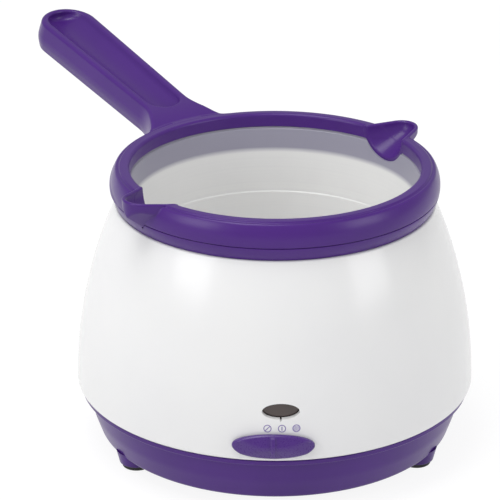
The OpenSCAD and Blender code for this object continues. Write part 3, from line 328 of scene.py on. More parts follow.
boss = turned("boss", rounded([
    (2.6, 3.0, 0), (6.45, 3.0, 0), (6.45, 2.2, 0.25), (7.5, 2.2, 0.4), (8.95, 8.2, 0), (2.6, 8.2, 0),
]), 72)
bosses = ring_of(boss, 3, foot_circle, 90)
inlet_boss = moved(turned("inlet_boss", rounded([
    (5.0, -0.1, 0), (8.3, -0.1, 0), (8.3, 5.4, 0.5), (5.0, 5.4, 0.3),
]), 96), (0, inlet_y - 5.4, inlet_z), -90, "X")
inlet_hole = turned("inlet_hole", [(0, -8), (6.6, -8), (6.6, 0), (7.2, 0), (7.2, 3), (0, 3)], 64)
carved(pan, [moved(inlet_hole, (0, inlet_y, inlet_z), -90, "X")])
base = joined([pan, posts, pillars, bosses, inlet_boss], "base_moulding")
smooth(base)
base.data.materials.clear()
base.data.materials.append(purple)
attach(base, "base")
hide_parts("base_pan")


# FEET. Three black rubber pads pressed into the bosses, with a soft edge and a shallow dished
# face, so that only the rim of each pad stands on the table.
rubber = moulded("black rubber", srgb(24, 24, 26), srgb(30, 30, 32), 0.62, 900.0, 60.0, 0.3)
foot = turned("feet", rounded([
    (0, 0.35, 0), (4.2, 0.35, 0), (4.9, 0, 0.3), (6.4, 0, 0.8), (6.4, 3.0, 0.1), (2.5, 3.0, 0),
    (2.5, 8.2, 0.2), (0, 8.2, 0),
]), 72)
feet = ring_of(foot, 3, foot_circle, 90, rubber)
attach(feet, "base")
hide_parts("foot_pads")


# INLET BUSH. A black nylon bush snapped into the rear boss from inside, where the mains lead
# would enter; its flange is ribbed for the fingers.
nylon = moulded("black nylon", srgb(22, 22, 24), srgb(28, 28, 31), 0.42, 1500.0, 40.0, 0.2)
bush = turned("cord_bush", rounded([
    (3.2, -7.2, 0.3), (6.2, -7.2, 0.3), (6.2, -5.5, 0), (4.9, -5.4, 0), (4.9, 0, 0), (7, 0, 0.2),
    (7, 0.5, 0.2), (6.7, 0.7, 0.1), (7, 0.9, 0.1), (7, 1.8, 0.5), (4.4, 1.8, 0.3), (3.2, 1.1, 0.3),
]), 96)
moved(bush, (0, inlet_y, inlet_z), -90, "X")
bush.data.materials.append(nylon)
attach(bush, "base")
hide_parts("inlet_bush")


# ELECTRICAL PARTS. The switch, lamp, terminals and wiring lie inside the base on the frame's
# own solids, each in the finish of the bought part.
def dressed(finish, *nodes):
    """Gives CAD nodes a finish."""
    for name in nodes:
        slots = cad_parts[name].data.materials
        slots.clear()
        slots.append(finish)


cream = moulded("cream thermoset", srgb(222, 212, 186), srgb(214, 203, 176), 0.5, 1200.0, 60.0, 0.2)
white_inner = moulded("white lamp holder", srgb(232, 232, 232), srgb(224, 224, 226), 0.4)
porcelain = moulded("glazed ceramic", srgb(226, 218, 198), srgb(216, 207, 186), 0.22, 700.0, 90.0, 0.15)
sleeve = moulded("silicone wire sleeve", srgb(150, 32, 28), srgb(136, 28, 26), 0.45, 2400.0, 50.0, 0.3)
lamp_glass = moulded("amber lamp glass", srgb(232, 140, 60), srgb(222, 120, 48), 0.06, 300.0, 90.0, 0.05)
dressed(nylon, "switch_body", "warm_diode")
dressed(cream, "terminal_block", "switch_slider")
dressed(white_inner, "lamp_holder")
dressed(porcelain, "thermostat")
dressed(sleeve, "wiring")
dressed(lamp_glass, "indicator_lamp")


# OUTER SHELL. One glossy white ABS moulding with a barrelled side. It is pierced for the
# indicator window and the knob's slot, and holds the well liner in a seat round its mouth.
seam_r = 87.95
seam_z = 28.3
rim_z = 110.8
shell_wall = 2.4
side_arc_r = 206.6
side_mid_r = seam_r - side_arc_r
side_mid_z = seam_z - 2.5
seat_r, seat_z = 68.5, 110.0


def side_r(z, inset=0.0):
    """Radius of the shell's side at a height, a given depth below its surface."""
    return side_mid_r + np.sqrt((side_arc_r - inset) ** 2 - (z - side_mid_z) ** 2)


white = moulded("glossy white ABS", srgb(241, 241, 241), srgb(238, 238, 239), 0.17, 1400.0, 14.0, 0.02)

lower_edge = rounded([(85.6, seam_z, 0.3), (seam_r, seam_z, 1.2), (seam_r, 34, 0)])[:-1]
side_z = np.linspace(30.2, 109.3, 60)
top_edge = rounded([
    (side_r(105.0), 105.0, 0), (side_r(rim_z) + 0.02, rim_z, 0.9), (seat_r, rim_z, 0.2),
    (seat_r, seat_z, 0), (66, seat_z, 0.1), (66, 108.4, 0.2), (side_r(108.4, shell_wall), 108.4, 0),
    (side_r(105.0, shell_wall), 105.0, 0),
])[1:-1]
inner_z = np.linspace(107.6, 29.5, 40)
shell = turned("shell_moulding", lower_edge + [(side_r(z), z) for z in side_z] + top_edge
               + [(side_r(z, shell_wall), z) for z in inner_z], 480, 24)

window_z = 50.6
window_half = (7.7, 3.35)
oval_angle = np.linspace(0, 2 * math.pi, 72, endpoint=False)


def oval(grow, middle_z):
    """The window's oval outline, grown by a width."""
    half_x, half_z = window_half[0] + grow, window_half[1] + grow
    return [(half_x * math.cos(a), middle_z + half_z * math.sin(a)) for a in oval_angle]


# The window's lowest point opens into a small moulding notch
opening = oval(0.12, window_z)
lowest = len(opening) * 3 // 4
opening[lowest:lowest + 1] = [(-0.35, 47.14), (-0.35, 46.3), (0.35, 46.3), (0.35, 47.14)]
window_cut = prism("window_cut", opening, 80, 92)
bevel_cut = prism("bevel_cut", oval(0, window_z), 86.8, 88.6, oval(1.2, window_z))
slot_cut = prism("slot_cut", [(-9.7, 32.2), (9.7, 32.2), (9.7, 38.6), (-9.7, 38.6)], 76, 92)
carved(shell, [moved(cut, turn=90, axis="X") for cut in (window_cut, bevel_cut, slot_cut)], 24)
posts = ring_of(turned("shell_post", rounded([
    (1.5, post_z + 0.05, 0), (4.5, post_z + 0.05, 0.2), (4.5, 46, 0.3), (1.5, 46, 0),
]), 40), 4, post_circle, 45)
shell = joined([shell, posts], "shell_moulding")
smooth(shell, 24)
shell.data.materials.clear()
shell.data.materials.append(white)
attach(shell, "base")
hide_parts("outer_shell")


# PRINTED SIGNS. Off, melt and keep-warm above the knob, pad-printed in purple ink on the shell's
# curved side: thin lines with a little body, laid on the surface.
ink = moulded("purple pad-print ink", srgb(128, 114, 172), srgb(136, 122, 178), 0.4, 2600.0, 90.0, 0.1)
sign_z = 43.3
sign_x = 0.45
sign_pitch = 6.0
sign_r = 1.5
sign_line = 0.36
ink_out, ink_in = 0.04, -0.1


def print_line(line, width, closed=False):
    """A printed stroke along a path of (x, z) as points and faces of a thin closed bar."""
    path = np.array(line, float)
    ahead = np.roll(path, -1, 0) - np.roll(path, 1, 0) if closed else np.gradient(path, axis=0)
    ahead /= np.hypot(ahead[:, 0], ahead[:, 1])[:, None]
    side = np.column_stack([-ahead[:, 1], ahead[:, 0]]) * width / 2
    rails = []
    for offset, depth in ((side, ink_out), (-side, ink_out), (-side, ink_in), (side, ink_in)):
        flat = path + offset
        y = -np.sqrt(side_r(flat[:, 1], -depth) ** 2 - flat[:, 0] ** 2)
        rails.append(np.column_stack([flat[:, 0], y, flat[:, 1]]))
    count = len(path)
    faces = []
    for step in range(count if closed else count - 1):
        after = (step + 1) % count
        for rail in range(4):
            other = (rail + 1) % 4
            faces.append((rail * count + step, rail * count + after,
                          other * count + after, other * count + step))
    if not closed:
        faces.append(tuple(rail * count for rail in range(4)))
        faces.append(tuple(rail * count + count - 1 for rail in (3, 2, 1, 0)))
    return np.vstack(rails), faces


strokes = []
off_x, warm_x = sign_x - sign_pitch, sign_x + sign_pitch
for place_x in (off_x, sign_x, warm_x):
    ring = [(place_x + sign_r * math.cos(a), sign_z + sign_r * math.sin(a)) for a in oval_angle[::2]]
    strokes.append(print_line(ring, sign_line, True))
cut = sign_r * 0.72
strokes.append(print_line([(off_x - cut, sign_z - cut), (off_x + cut, sign_z + cut)], sign_line))
strokes.append(print_line([(sign_x, sign_z - 0.85), (sign_x, sign_z + 0.85)], 0.42))
for level in (-0.9, -0.45, 0, 0.45, 0.9):
    half = math.sqrt(sign_r ** 2 - level ** 2) - 0.1
    ends = [(warm_x - half, sign_z + level), (warm_x + half, sign_z + level)]
    strokes.append(print_line(ends, 0.2))
sign_points, sign_faces = [], []
for stroke_points, stroke_faces in strokes:
    sign_faces += [tuple(i + len(sign_points) for i in face) for face in stroke_faces]
    sign_points += stroke_points.tolist()
signs = solid("printed_signs", sign_points, sign_faces, 30)
work = bmesh.new()
work.from_mesh(signs.data)
bmesh.ops.recalc_face_normals(work, faces=work.faces)
work.to_mesh(signs.data)
work.free()
signs.data.materials.append(ink)
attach(signs, "base")


# INDICATOR LENS. A smoked oval lens snapped in from behind. Its face follows the shell's side
# and falls away in a soft edge; a flange behind the window holds it.
def soft_max(a, b, r):
    """Where two shapes meet in both, with the edge rounded to radius r."""
    return np.minimum(np.maximum(a, b), -r) + np.hypot(np.maximum(a + r, 0), np.maximum(b + r, 0))


def soft_min(a, b, r):
    """Two shapes together, with a fillet of radius r between them."""
    return -soft_max(-a, -b, r)


def ellipse(x, z, half_x, half_z):
    """About the distance to an ellipse."""
    near = np.hypot(x / half_x, z / half_z)
    steep = np.maximum(np.hypot(x / half_x ** 2, z / half_z ** 2), 1e-6)
    return near * (near - 1) / steep


def skinned(name, shape, axes, place, period=False):
    """The surface of a shape given by its distance, found on a grid of three axes that place()
    puts in space, and then drawn exactly on to the shape, with the shape's own normals."""
    u, v, w = np.meshgrid(*axes, indexing="ij")
    values = shape(*place(u, v, w))
    inside = values < 0
    steps = [(i, j, k) for i in (0, 1) for j in (0, 1) for k in (0, 1)]
    count = sum(np.roll(inside, (-i, -j, -k), (0, 1, 2)).astype(np.int8) for i, j, k in steps)
    cells = np.argwhere((count > 0) & (count < 8))
    sizes = np.array(inside.shape)
    corner = [values[tuple(((cells + step) % sizes).T)] for step in steps]
    total, hits = np.zeros((len(cells), 3)), np.zeros(len(cells))
    for a, first in enumerate(steps):
        for b, second in enumerate(steps):
            if b <= a or sum(abs(p - q) for p, q in zip(first, second)) != 1:
                continue
            crossed = (corner[a] < 0) != (corner[b] < 0)
            share = np.where(crossed, corner[a] / np.where(crossed, corner[a] - corner[b], 1), 0)
            start, step = np.array(first), np.array(second) - np.array(first)
            total += crossed[:, None] * (start + share[:, None] * step)
            hits += crossed
    offset = total / hits[:, None]
    found = []
    for axis in range(3):
        line = axes[axis]
        end = line[0] + 360 if axis == 0 and period else line[-1]
        gap = np.diff(np.append(line, end))
        found.append(line[cells[:, axis]] + offset[:, axis] * gap[cells[:, axis]])
    points = np.stack(place(*found), -1)
    number = np.full(inside.shape, -1)
    number[tuple(cells.T)] = np.arange(len(cells))
    faces = []
    for axis in range(3):
        b, c = (axis + 1) % 3, (axis + 2) % 3
        edge = inside != np.roll(inside, -1, axis)
        at = np.argwhere(edge)
        out = inside[tuple(at.T)]
        loop = []
        for back_b, back_c in ((0, 0), (1, 0), (1, 1), (0, 1)):
            cell = at.copy()
            cell[:, b] -= back_b
            cell[:, c] -= back_c
            loop.append(number[tuple((cell % sizes).T)])
        loop = np.stack(loop, -1)
        loop[~out] = loop[~out][:, ::-1]
        faces.append(loop)
    faces = np.vstack(faces)
    for _ in range(5):
        here, slope = slope_of(shape, points)
        step = here[:, None] * slope / np.maximum((slope ** 2).sum(1), 0.25)[:, None]
        points -= np.clip(step, -0.3, 0.3)
    _, slope = slope_of(shape, points)
    slope /= np.maximum(np.linalg.norm(slope, axis=1), 1e-9)[:, None]
    corners = points[faces]
    across = np.cross(corners[:, 2] - corners[:, 0], corners[:, 3] - corners[:, 1])
    if (across * slope[faces].sum(1)).sum() < 0:
        faces = faces[:, ::-1]
    piece = solid(name, points, faces, 180)
    piece.data.normals_split_custom_set_from_vertices(slope.tolist())
    return piece


def slope_of(shape, points):
    """A shape's distance and its slope at some points."""
    reach = 0.02
    slope = np.zeros_like(points)
    for axis in range(3):
        ahead, back = points.copy(), points.copy()
        ahead[:, axis] += reach
        back[:, axis] -= reach
        slope[:, axis] = (shape(*ahead.T) - shape(*back.T)) / (2 * reach)
    return shape(*points.T), slope


lens_recess = 2.3
lens_back_y = -81.6
flange_w = 1.5
flange_y = -83.1


def lens_shape(x, y, z):
    """The lens and its flange."""
    r = np.hypot(x, y)
    face = ellipse(x, z - window_z, window_half[0], window_half[1])
    plug = soft_max(face, r - side_r(z) + lens_recess, 0.6)
    edge = ellipse(x, z - window_z, window_half[0] + flange_w, window_half[1] + flange_w)
    flange = np.maximum(edge, flange_y - y)
    return np.maximum(np.minimum(plug, flange), y - lens_back_y)


def cube_grid(low, high, step):
    """Grid axes over a box."""
    return [np.arange(a, b + step, step) for a, b in zip(low, high)]


smoked = moulded("smoked lens", srgb(66, 48, 45), srgb(54, 38, 35), 0.05, 300.0, 60.0, 0.02,
                 Coat_Weight=0.6, Coat_Roughness=0.03)
lens = skinned("smoked_lens", lens_shape, cube_grid((-10, -89.5, 45), (10, -80.8, 56.2), 0.22),
               lambda u, v, w: (u, v, w))
lens.data.materials.append(smoked)
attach(lens, "base")
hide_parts("indicator_lens")


# SLIDE KNOB. A purple oval cap with two facets that meet in a level ridge and a finger rib
# across it; its stem passes the shell's slot and carries the switch's slider.
knob_z = 35.4
knob_back = 88.26
knob_rest = -2.3
knob_face_r = 92.06
knob_half = (17.3, 5.55)
facet_lean = (0.926, 0.377)
stem_half = (6, 3)
nest_half, nest_y = 2.7, -84.57


def knob_shape(x, y, z):
    """The knob, facing -Y."""
    r = np.hypot(x, y)
    over, high = x - 0.4, z - knob_z - 0.4
    out, lean = (r - knob_face_r) * facet_lean[0], high * facet_lean[1]
    facets = soft_max(out + lean, out - lean, 0.6)
    crown = np.hypot(over, y + 50.06) - 42
    cap = soft_max(soft_max(facets, crown, 0.5), ellipse(over, high, *knob_half), 0.9)
    cap = soft_max(cap, knob_back - r, 0.3)
    rib = soft_max(soft_max(np.abs(over) - 1.0, np.abs(high) - 4.6, 0.5), facets - 0.75, 0.5)
    cap = soft_min(cap, np.maximum(rib, knob_back + 0.2 - r), 0.4)
    up = z - knob_z
    stem = soft_max(np.abs(x) - stem_half[0], np.abs(up) - stem_half[1], 0.3)
    stem = np.maximum(np.maximum(stem, r - 88.9), 79.6 - r)
    nest = np.maximum(np.maximum(np.abs(x) - nest_half, np.abs(up) - nest_half), nest_y - y)
    return np.minimum(cap, np.maximum(stem, -nest))


knob = skinned("slide_knob", knob_shape, cube_grid((-18, -94, 29.4), (18, -78.6, 41.4), 0.24),
               lambda u, v, w: (u, v, w))
moved(knob, turn=knob_rest)
knob_purple = moulded("knob purple ABS", srgb(74, 38, 124), srgb(70, 36, 118), 0.24)
knob.data.materials.append(knob_purple)
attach(knob, "knob")
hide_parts("switch_knob")


# WELL LINER AND HEATER. A spun aluminium cup hangs in the shell's mouth; a cast plate fills its
# floor and carries the mica element, its steel clamp, the thermostat and the thermal fuse.
marks_tree, given, shown = new_tree(
    "turning marks", "ShaderNodeTree",
    {"Colour": "Color", "Shade": "Color", "Roughness": "Float", "Lines": "Float",
     "Spread": "Float"},
    {"Colour": "Color", "Roughness": "Float", "Height": "Float"},
)
place = node(marks_tree, "ShaderNodeTexCoord").outputs["Object"]
parts = node(marks_tree, "ShaderNodeSeparateXYZ", {0: place}).outputs
level = node(marks_tree, "ShaderNodeCombineXYZ", {"X": parts["X"], "Y": parts["Y"]}).outputs[0]
radius = node(marks_tree, "ShaderNodeVectorMath", {0: level}, operation="LENGTH").outputs["Value"]
wound = node(marks_tree, "ShaderNodeCombineXYZ", {"X": radius, "Z": parts["Z"]}).outputs[0]
lines = node(marks_tree, "ShaderNodeTexNoise",
             {"Vector": wound, "Scale": given["Lines"], "Detail": 3.0}).outputs["Fac"]
smudge = node(marks_tree, "ShaderNodeTexNoise",
              {"Vector": place, "Scale": 26.0, "Detail": 4.0}).outputs["Fac"]
both = node(marks_tree, "ShaderNodeMath", {0: lines, 1: smudge}, operation="MULTIPLY").outputs[0]
share = node(marks_tree, "ShaderNodeMapRange",
             {"Value": both, "From Min": 0.15, "From Max": 0.4}).outputs[0]
drift = node(marks_tree, "ShaderNodeMix", {0: share, 6: given["Colour"], 7: given["Shade"]},
             data_type="RGBA")
gloss = node(marks_tree, "ShaderNodeMath", {0: both, 1: given["Spread"], 2: given["Roughness"]},
             operation="MULTIPLY_ADD")
marks_tree.links.new(drift.outputs[2], shown["Colour"])
marks_tree.links.new(gloss.outputs[0], shown["Roughness"])
marks_tree.links.new(lines, shown["Height"])


def metal(name, colour, shade, roughness, lines, lift, spread=0.2, metallic=1.0):
    """A metal with marks that run round the pot's axis."""
    values = {"Colour": colour, "Shade": shade, "Roughness": roughness, "Lines": lines,
              "Spread": spread}
    return surfaced(name, marks_tree, values, lift, Metallic=metallic)


spun = metal("spun aluminium", srgb(196, 197, 200), srgb(180, 181, 185), 0.3, 1400.0, 0.15)
cast = metal("cast aluminium", srgb(176, 176, 178), srgb(150, 150, 154), 0.45, 500.0, 0.35)
steel = metal("plated steel", srgb(186, 187, 190), srgb(168, 169, 173), 0.28, 2200.0, 0.1)
mica = moulded("mica board", srgb(196, 180, 146), srgb(166, 150, 120), 0.5, 400.0, 180.0, 0.4)
draft = math.tan(math.radians(7))
pot_under_z = 58.4
well_floor_z = pot_under_z - 2.7
liner_t = 0.8
liner_r = 65
liner_low = liner_r - (rim_z - well_floor_z) * draft
plate_hole_r = 40.2
flange_r = 68.3
liner = turned("well_cup", rounded([
    (plate_hole_r, well_floor_z - liner_t, 0.2), (liner_low + 0.7, well_floor_z - liner_t, 2.8),
    (65.75, seat_z, 0.5), (flange_r, seat_z, 0), (flange_r, rim_z, 0.3), (liner_r, rim_z, 0.7),
    (liner_low, well_floor_z, 2.0), (plate_hole_r, well_floor_z, 0.2),
]))
screw_hole = turned("liner_holes", [(0, 50), (1.6, 50), (1.6, 60), (0, 60)], 32)
carved(liner, [ring_of(screw_hole, 3, pillar_circle, 0)])
liner.data.materials.clear()
liner.data.materials.append(spun)
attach(liner, "base")
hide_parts("well_liner")
dressed(cast, "heater_plate")
dressed(mica, "heating_element")
dressed(steel, "heater_clamp", "thermal_fuse", "fuse_clip")


# MELTING POT. Drawn aluminium with a pale satin non-stick coat, drafted, with a stacking step
# in its wall and a flange that the two collars clamp; two notches let the beaks through.
pot_turn = 34.8
pot_wall = 1.6
pot_rim_z = 120.7
pot_rim_r = 62.9
pot_flange_r = 68.5
pot_flange_z = pot_rim_z - pot_wall
step_z = 91.7
ring_in = 63.1
ring_top = 127.7
beak_turn = 1.9
beak_r = 11.1
beak_slope = 0.48
beak_end = 14.6
beak_angle = math.atan(beak_slope)
beak_tilt = 5
beak_rise = math.radians(beak_tilt)
keel = math.radians(48)
keel_start, keel_end = 1.5, 12


def beak_tools(grow):
    """Both beaks, grown by a thickness, as cutting tools: the round trough and the keel outside."""
    skin = grow / math.cos(beak_angle)
    wide = beak_r + skin
    half = [(math.sin(a), math.cos(a)) for a in np.linspace(0, keel, 6)] + [(1 / math.sin(keel), 0)]
    other = [(depth, -side) for depth, side in half[-2::-1]]
    v_shape = np.array([(-1.2, 1)] + half + other + [(-1.2, -1)])[::-1]
    near, far = (beak_r - beak_slope * along + skin for along in (keel_start, keel_end))
    tools = []
    for side in (0, 180):
        round_outline = [(0, -7.5), (wide, -7.5), (wide, 0), (far, keel_end), (0, keel_end)]
        round_tool = turned("round_tool", round_outline, 144)
        keel_tool = prism("keel_tool", v_shape * near, keel_start, keel_end, v_shape * far)
        for tool in (round_tool, keel_tool):
            moved(tool, turn=90 - beak_tilt, axis="Y")
            moved(tool, (ring_in, 0, ring_top))
            tools.append(moved(tool, turn=side + pot_turn + beak_turn))
    return tools


coat_colour, coat_shade = srgb(236, 236, 234), srgb(232, 232, 231)
coat = metal("pale non-stick coat", coat_colour, coat_shade, 0.3, 900.0, 0.04, 0.1, 0.0)

# Above a height given in metres, the coat's colour blends to lavender-grey: a painted shade that stands
# for the soft shadow under the collar
shade_band_low, shade_band_high = 0.1098, 0.1121
tree = coat.node_tree
place = node(tree, "ShaderNodeTexCoord").outputs["Object"]
height = node(tree, "ShaderNodeSeparateXYZ", {0: place}).outputs["Z"]
share = node(tree, "ShaderNodeMapRange",
             {"Value": height, "From Min": shade_band_low, "From Max": shade_band_high}).outputs[0]
# Both of the coat's colours take the painted shade near the rim
for socket, colour in (("Colour", coat_colour), ("Shade", coat_shade)):
    painted_shade = node(tree, "ShaderNodeMix", {0: share, 6: colour, 7: srgb(154, 152, 168)},
                  data_type="RGBA")
    tree.links.new(painted_shade.outputs[2], tree.nodes["Group"].inputs[socket])


def pot_r(z, grow=0.0):
    """Radius of the pot's upper wall inside, and outside when grown."""
    return pot_rim_r - (pot_rim_z - z) * draft + grow / math.cos(math.radians(7))


pot_low_in = pot_r(60) - 0.4
pot_low_out = pot_r(pot_under_z, pot_wall) - 1.4
pot = turned("coated_pot", rounded([
    (0, pot_under_z, 0), (pot_low_out, pot_under_z, 9.6), (pot_r(90.7, pot_wall) - 1.4, 90.7, 0.7),
    (pot_r(92.1, pot_wall), 92.1, 0.7), (pot_r(pot_flange_z, pot_wall), pot_flange_z, 0.3),
    (pot_flange_r, pot_flange_z, 0.3), (pot_flange_r, pot_rim_z, 0.3), (pot_rim_r, pot_rim_z, 0.5),
    (pot_r(step_z), step_z, 0.4), (pot_r(91.2) - 0.4, 91.2, 0.4), (pot_low_in, 60, 8.0), (0, 60, 0),
], 8))
carved(pot, beak_tools(2.0))
pot.data.materials.clear()
pot.data.materials.append(coat)
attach(pot, "pot")
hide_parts("melting_pot")


# RIM SEAL. A flat silicone washer on the pot's flange, squeezed under the upper collar when the
# collars are screwed together; it is notched for the beaks.
silicone = moulded("rim seal silicone", srgb(150, 148, 162), srgb(143, 141, 156), 0.5,
                   1500.0, 40.0, 0.1)
seal_r = (63.3, 69)
seal_z = (pot_rim_z + 0.02, 121.48)
seal = turned("seal_ring", rounded([
    (seal_r[0], seal_z[0], 0.1), (seal_r[1], seal_z[0], 0.1), (seal_r[1], seal_z[1], 0.1),
    (seal_r[0], seal_z[1], 0.1),
]))
carved(seal, beak_tools(2.0))
seal.data.materials.clear()
seal.data.materials.append(silicone)
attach(seal, "pot")
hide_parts("rim_seal")


# LOWER COLLAR. A purple ring screwed up from below against the pot's flange, which leaves a
# hairline groove under the upper collar; its barrelled side runs on from the upper collar's.
barrel_arc_r = 14
barrel_mid_r, barrel_mid_z = 57.5, 119.3
parting_z = 116.9
tenon_r = 68.9
collar_screw_circle = 66.2
collar_screw_start = 22.5 + pot_turn
collar_screw_z = 112.7


def barrel_r(z):
    """Radius of both collars' barrelled side."""
    return barrel_mid_r + np.sqrt(barrel_arc_r ** 2 - (z - barrel_mid_z) ** 2)


band = rounded([(63.7, rim_z, 0.2), (68.65, rim_z, 0.4), (barrel_r(112.2), 112.2, 0)])[:-1]
band += [(barrel_r(z), z) for z in np.linspace(111.6, 116.4, 12)]
band += rounded([
    (barrel_r(115.5), 115.5, 0), (barrel_r(parting_z), parting_z, 0.3), (tenon_r, parting_z, 0),
])[1:-1]
band += [(tenon_r, parting_z), (tenon_r, pot_flange_z), (64.7, pot_flange_z)]
lower = turned("lower_collar_ring", band, 480)
carved(lower, beak_tools(2.0))
screw_well = turned("collar_wells",
                    [(0, 109), (1.9, 109), (1.9, collar_screw_z), (0, collar_screw_z)], 32)
carved(lower, [ring_of(screw_well, 8, collar_screw_circle, collar_screw_start)])
lower.data.materials.clear()
lower.data.materials.append(purple)
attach(lower, "pot")
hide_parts("lower_collar")


# UPPER COLLAR. One purple moulding: a barrelled ring with a rolled inner bead, two cone-shaped
# pouring beaks, and the long handle that flares out of the ring, with a dished thumb scoop.
handle_tilt = 12
handle_rise = math.radians(handle_tilt)
handle_top_w = (11.4, 13.6)
handle_x = (12.8, 104.4)
handle_h = 14
bead_r = 68.3
collar_under_z = 117.1
trough_back = 7.5
beak_wall_t = 1.8


def bar(x, y, x1, r1, x2, r2):
    """Distance in plan to a bar with round ends of different radii."""
    long = x2 - x1
    b = (r1 - r2) / long
    a = math.sqrt(1 - b * b)
    y, x = np.abs(y), x - x1
    k = a * x - b * y
    side = a * y + b * x - r1
    return np.where(k < 0, np.hypot(x, y) - r1, np.where(k > a * long, np.hypot(x - long, y) - r2, side))


def cone(along, across, grow):
    """Distance to a beak's trough, a cone with a round tip, grown by a thickness."""
    sine, cosine = math.sin(beak_angle), math.cos(beak_angle)
    tip = (beak_r - beak_slope * beak_end) * cosine / (1 - sine)
    middle = beak_end - tip
    flank = (across - beak_r + beak_slope * along) * cosine - grow
    beyond = (along - middle) * cosine - across * sine > 0
    return np.where(beyond, np.hypot(along - middle, across) - tip - grow, flank)


def beak_wall(along, side, above, r):
    """One beak: round inside, folded to a keel outside and open at the top."""
    across = np.hypot(above, side)
    folded = np.hypot(side, 0.4) * math.cos(keel) - above * math.sin(keel)
    hull = (folded - beak_r + beak_slope * along) * math.cos(beak_angle) - beak_wall_t
    hull = soft_max(hull, cone(along - above * 0.15, np.abs(side), beak_wall_t), 0.5)
    hull = soft_max(hull, cone(along, across, beak_wall_t + np.maximum(along, 0) * 0.5), 0.5)
    wall = soft_max(np.maximum(hull, -cone(along, across, 0)), above, 0.8)
    return soft_max(wall, ring_in - r, 0.5)


def handle_frame(y, z):
    """Distance along the handle from the ring's inner wall, and height above the handle's top."""
    run, up = y - ring_in, z - ring_top
    return (run * math.cos(handle_rise) + up * math.sin(handle_rise),
            up * math.cos(handle_rise) - run * math.sin(handle_rise))


def collar_shape(x, y, z):
    """The upper collar with its beaks near X and its handle on +Y."""
    r = np.hypot(x, y)
    along, rise = handle_frame(y, z)
    plan = bar(along, x, handle_x[0], handle_top_w[0], handle_x[1], handle_top_w[1])
    barrel = np.hypot(r - barrel_mid_r, z - barrel_mid_z) - barrel_arc_r
    ring = soft_max(barrel, z - ring_top, 1.5)
    ring = soft_max(ring, ring_in - r, 1.5)
    ring = soft_max(ring, collar_under_z - z, 0.3)
    crease = np.maximum(np.hypot(r - bead_r, z - ring_top + 0.05) - 0.75, -plan)
    ring = soft_max(ring, -crease, 0.3)

    dip = np.clip((18 - along) / 12.5, 0, 1.2)
    sides = soft_max((plan + rise / 6) * 0.986, (plan - (handle_h + rise) / 4) * 0.97, 0.8)
    grip = soft_min(sides, barrel, 18)
    grip = soft_max(grip, rise + 1.3 * dip ** 2, 1.3)
    grip = soft_max(grip, -handle_h - rise, 1.0)
    grip = soft_max(grip, ring_in + 1.2 - r, 0.9)
    grip = soft_max(grip, np.minimum(collar_under_z - z, 85.5 - r), 0.3)
    bowl = np.hypot(x, rise - 10.4) - 15.0
    scoop = soft_max(bar(along, x, 25.6, 8.6, handle_x[1], 10.8), bowl, 2.4)
    grip = soft_max(grip, -scoop, 1.0)
    pocket = np.maximum(bar(along, x, 27.2, 9.0, handle_x[1], 11.2), rise + 12)
    grip = soft_max(grip, -pocket, 0.25)
    body = soft_min(ring, grip, 1.5)
    body = np.maximum(body, -np.maximum(r - 69.1, z - 121.5))

    turn = math.radians(beak_turn)
    for way in (1, -1):
        run = way * (x * math.cos(turn) + y * math.sin(turn)) - ring_in
        side = y * math.cos(turn) - x * math.sin(turn)
        up = z - ring_top
        along = run * math.cos(beak_rise) + up * math.sin(beak_rise)
        above = up * math.cos(beak_rise) - run * math.sin(beak_rise)
        trough = np.maximum(cone(along, np.hypot(above, side), 0), -trough_back - along)
        body = soft_max(body, -trough, 0.7)
        wall = np.maximum(beak_wall(along, side, above, r), -trough_back - along)
        body = soft_min(body, wall, 0.3)
    return body


# The grid is finest round the far beak and the near one, and across the ring
fine_arcs = [(270, 342, 0.9), (342, 378, 0.4), (378, 422, 0.9), (422, 438, 0.45), (438, 462, 0.22),
             (462, 478, 0.45), (478, 522, 0.9), (522, 558, 0.4), (558, 630, 0.9)]
turn_axis = np.concatenate([np.arange(a, b, step) for a, b, step in fine_arcs])
run_axis = np.concatenate([
    np.arange(62.3, 73.2, 0.36), np.arange(73.2, 81, 0.55), np.arange(81, 183, 1.05),
])
level_axis = np.arange(109.8, 131.4, 0.4)


def around(turn, run, level):
    """The collar's grid: round the axis, outwards, and up, rising with the handle."""
    a = np.radians(turn)
    return run * np.cos(a), run * np.sin(a), level + np.maximum(run - 73, 0) * math.tan(handle_rise)


collar = skinned("upper_collar_moulding", collar_shape, [turn_axis, run_axis, level_axis], around, True)
moved(collar, turn=pot_turn)
collar.data.materials.append(purple)
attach(collar, "pot")
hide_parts("upper_collar")


# HANDLE COVER. A purple strip set flush in the handle's underside, held by two sunk screws; it
# closes the hollow that keeps the handle light.
screw_x = (32.9, 97.6)
cover_z = -13


def cover_shape(x, y, z):
    """The cover in the handle's own frame, with X along the handle."""
    plate = soft_max(bar(x, y, 27.2, 8.8, handle_x[1], 11.0), np.abs(z - cover_z) - 1, 0.35)
    for along in screw_x:
        off = np.hypot(x - along, y)
        plate = soft_max(plate, -np.maximum(off - 2.9, z - cover_z), 0.15)
    return plate


def onto_handle(piece):
    """Places a mesh made in the handle's own frame."""
    moved(piece, turn=-handle_tilt, axis="Y")
    moved(piece, (ring_in, 0, ring_top))
    return moved(piece, turn=90 + pot_turn)


cover_grid = cube_grid((17.6, -12, -14.5), (116.2, 12, -11.4), 0.42)
cover = skinned("handle_cover_strip", cover_shape, cover_grid, lambda u, v, w: (u, v, w))
onto_handle(cover)
cover.data.materials.append(purple)
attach(cover, "pot")
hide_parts("handle_cover")


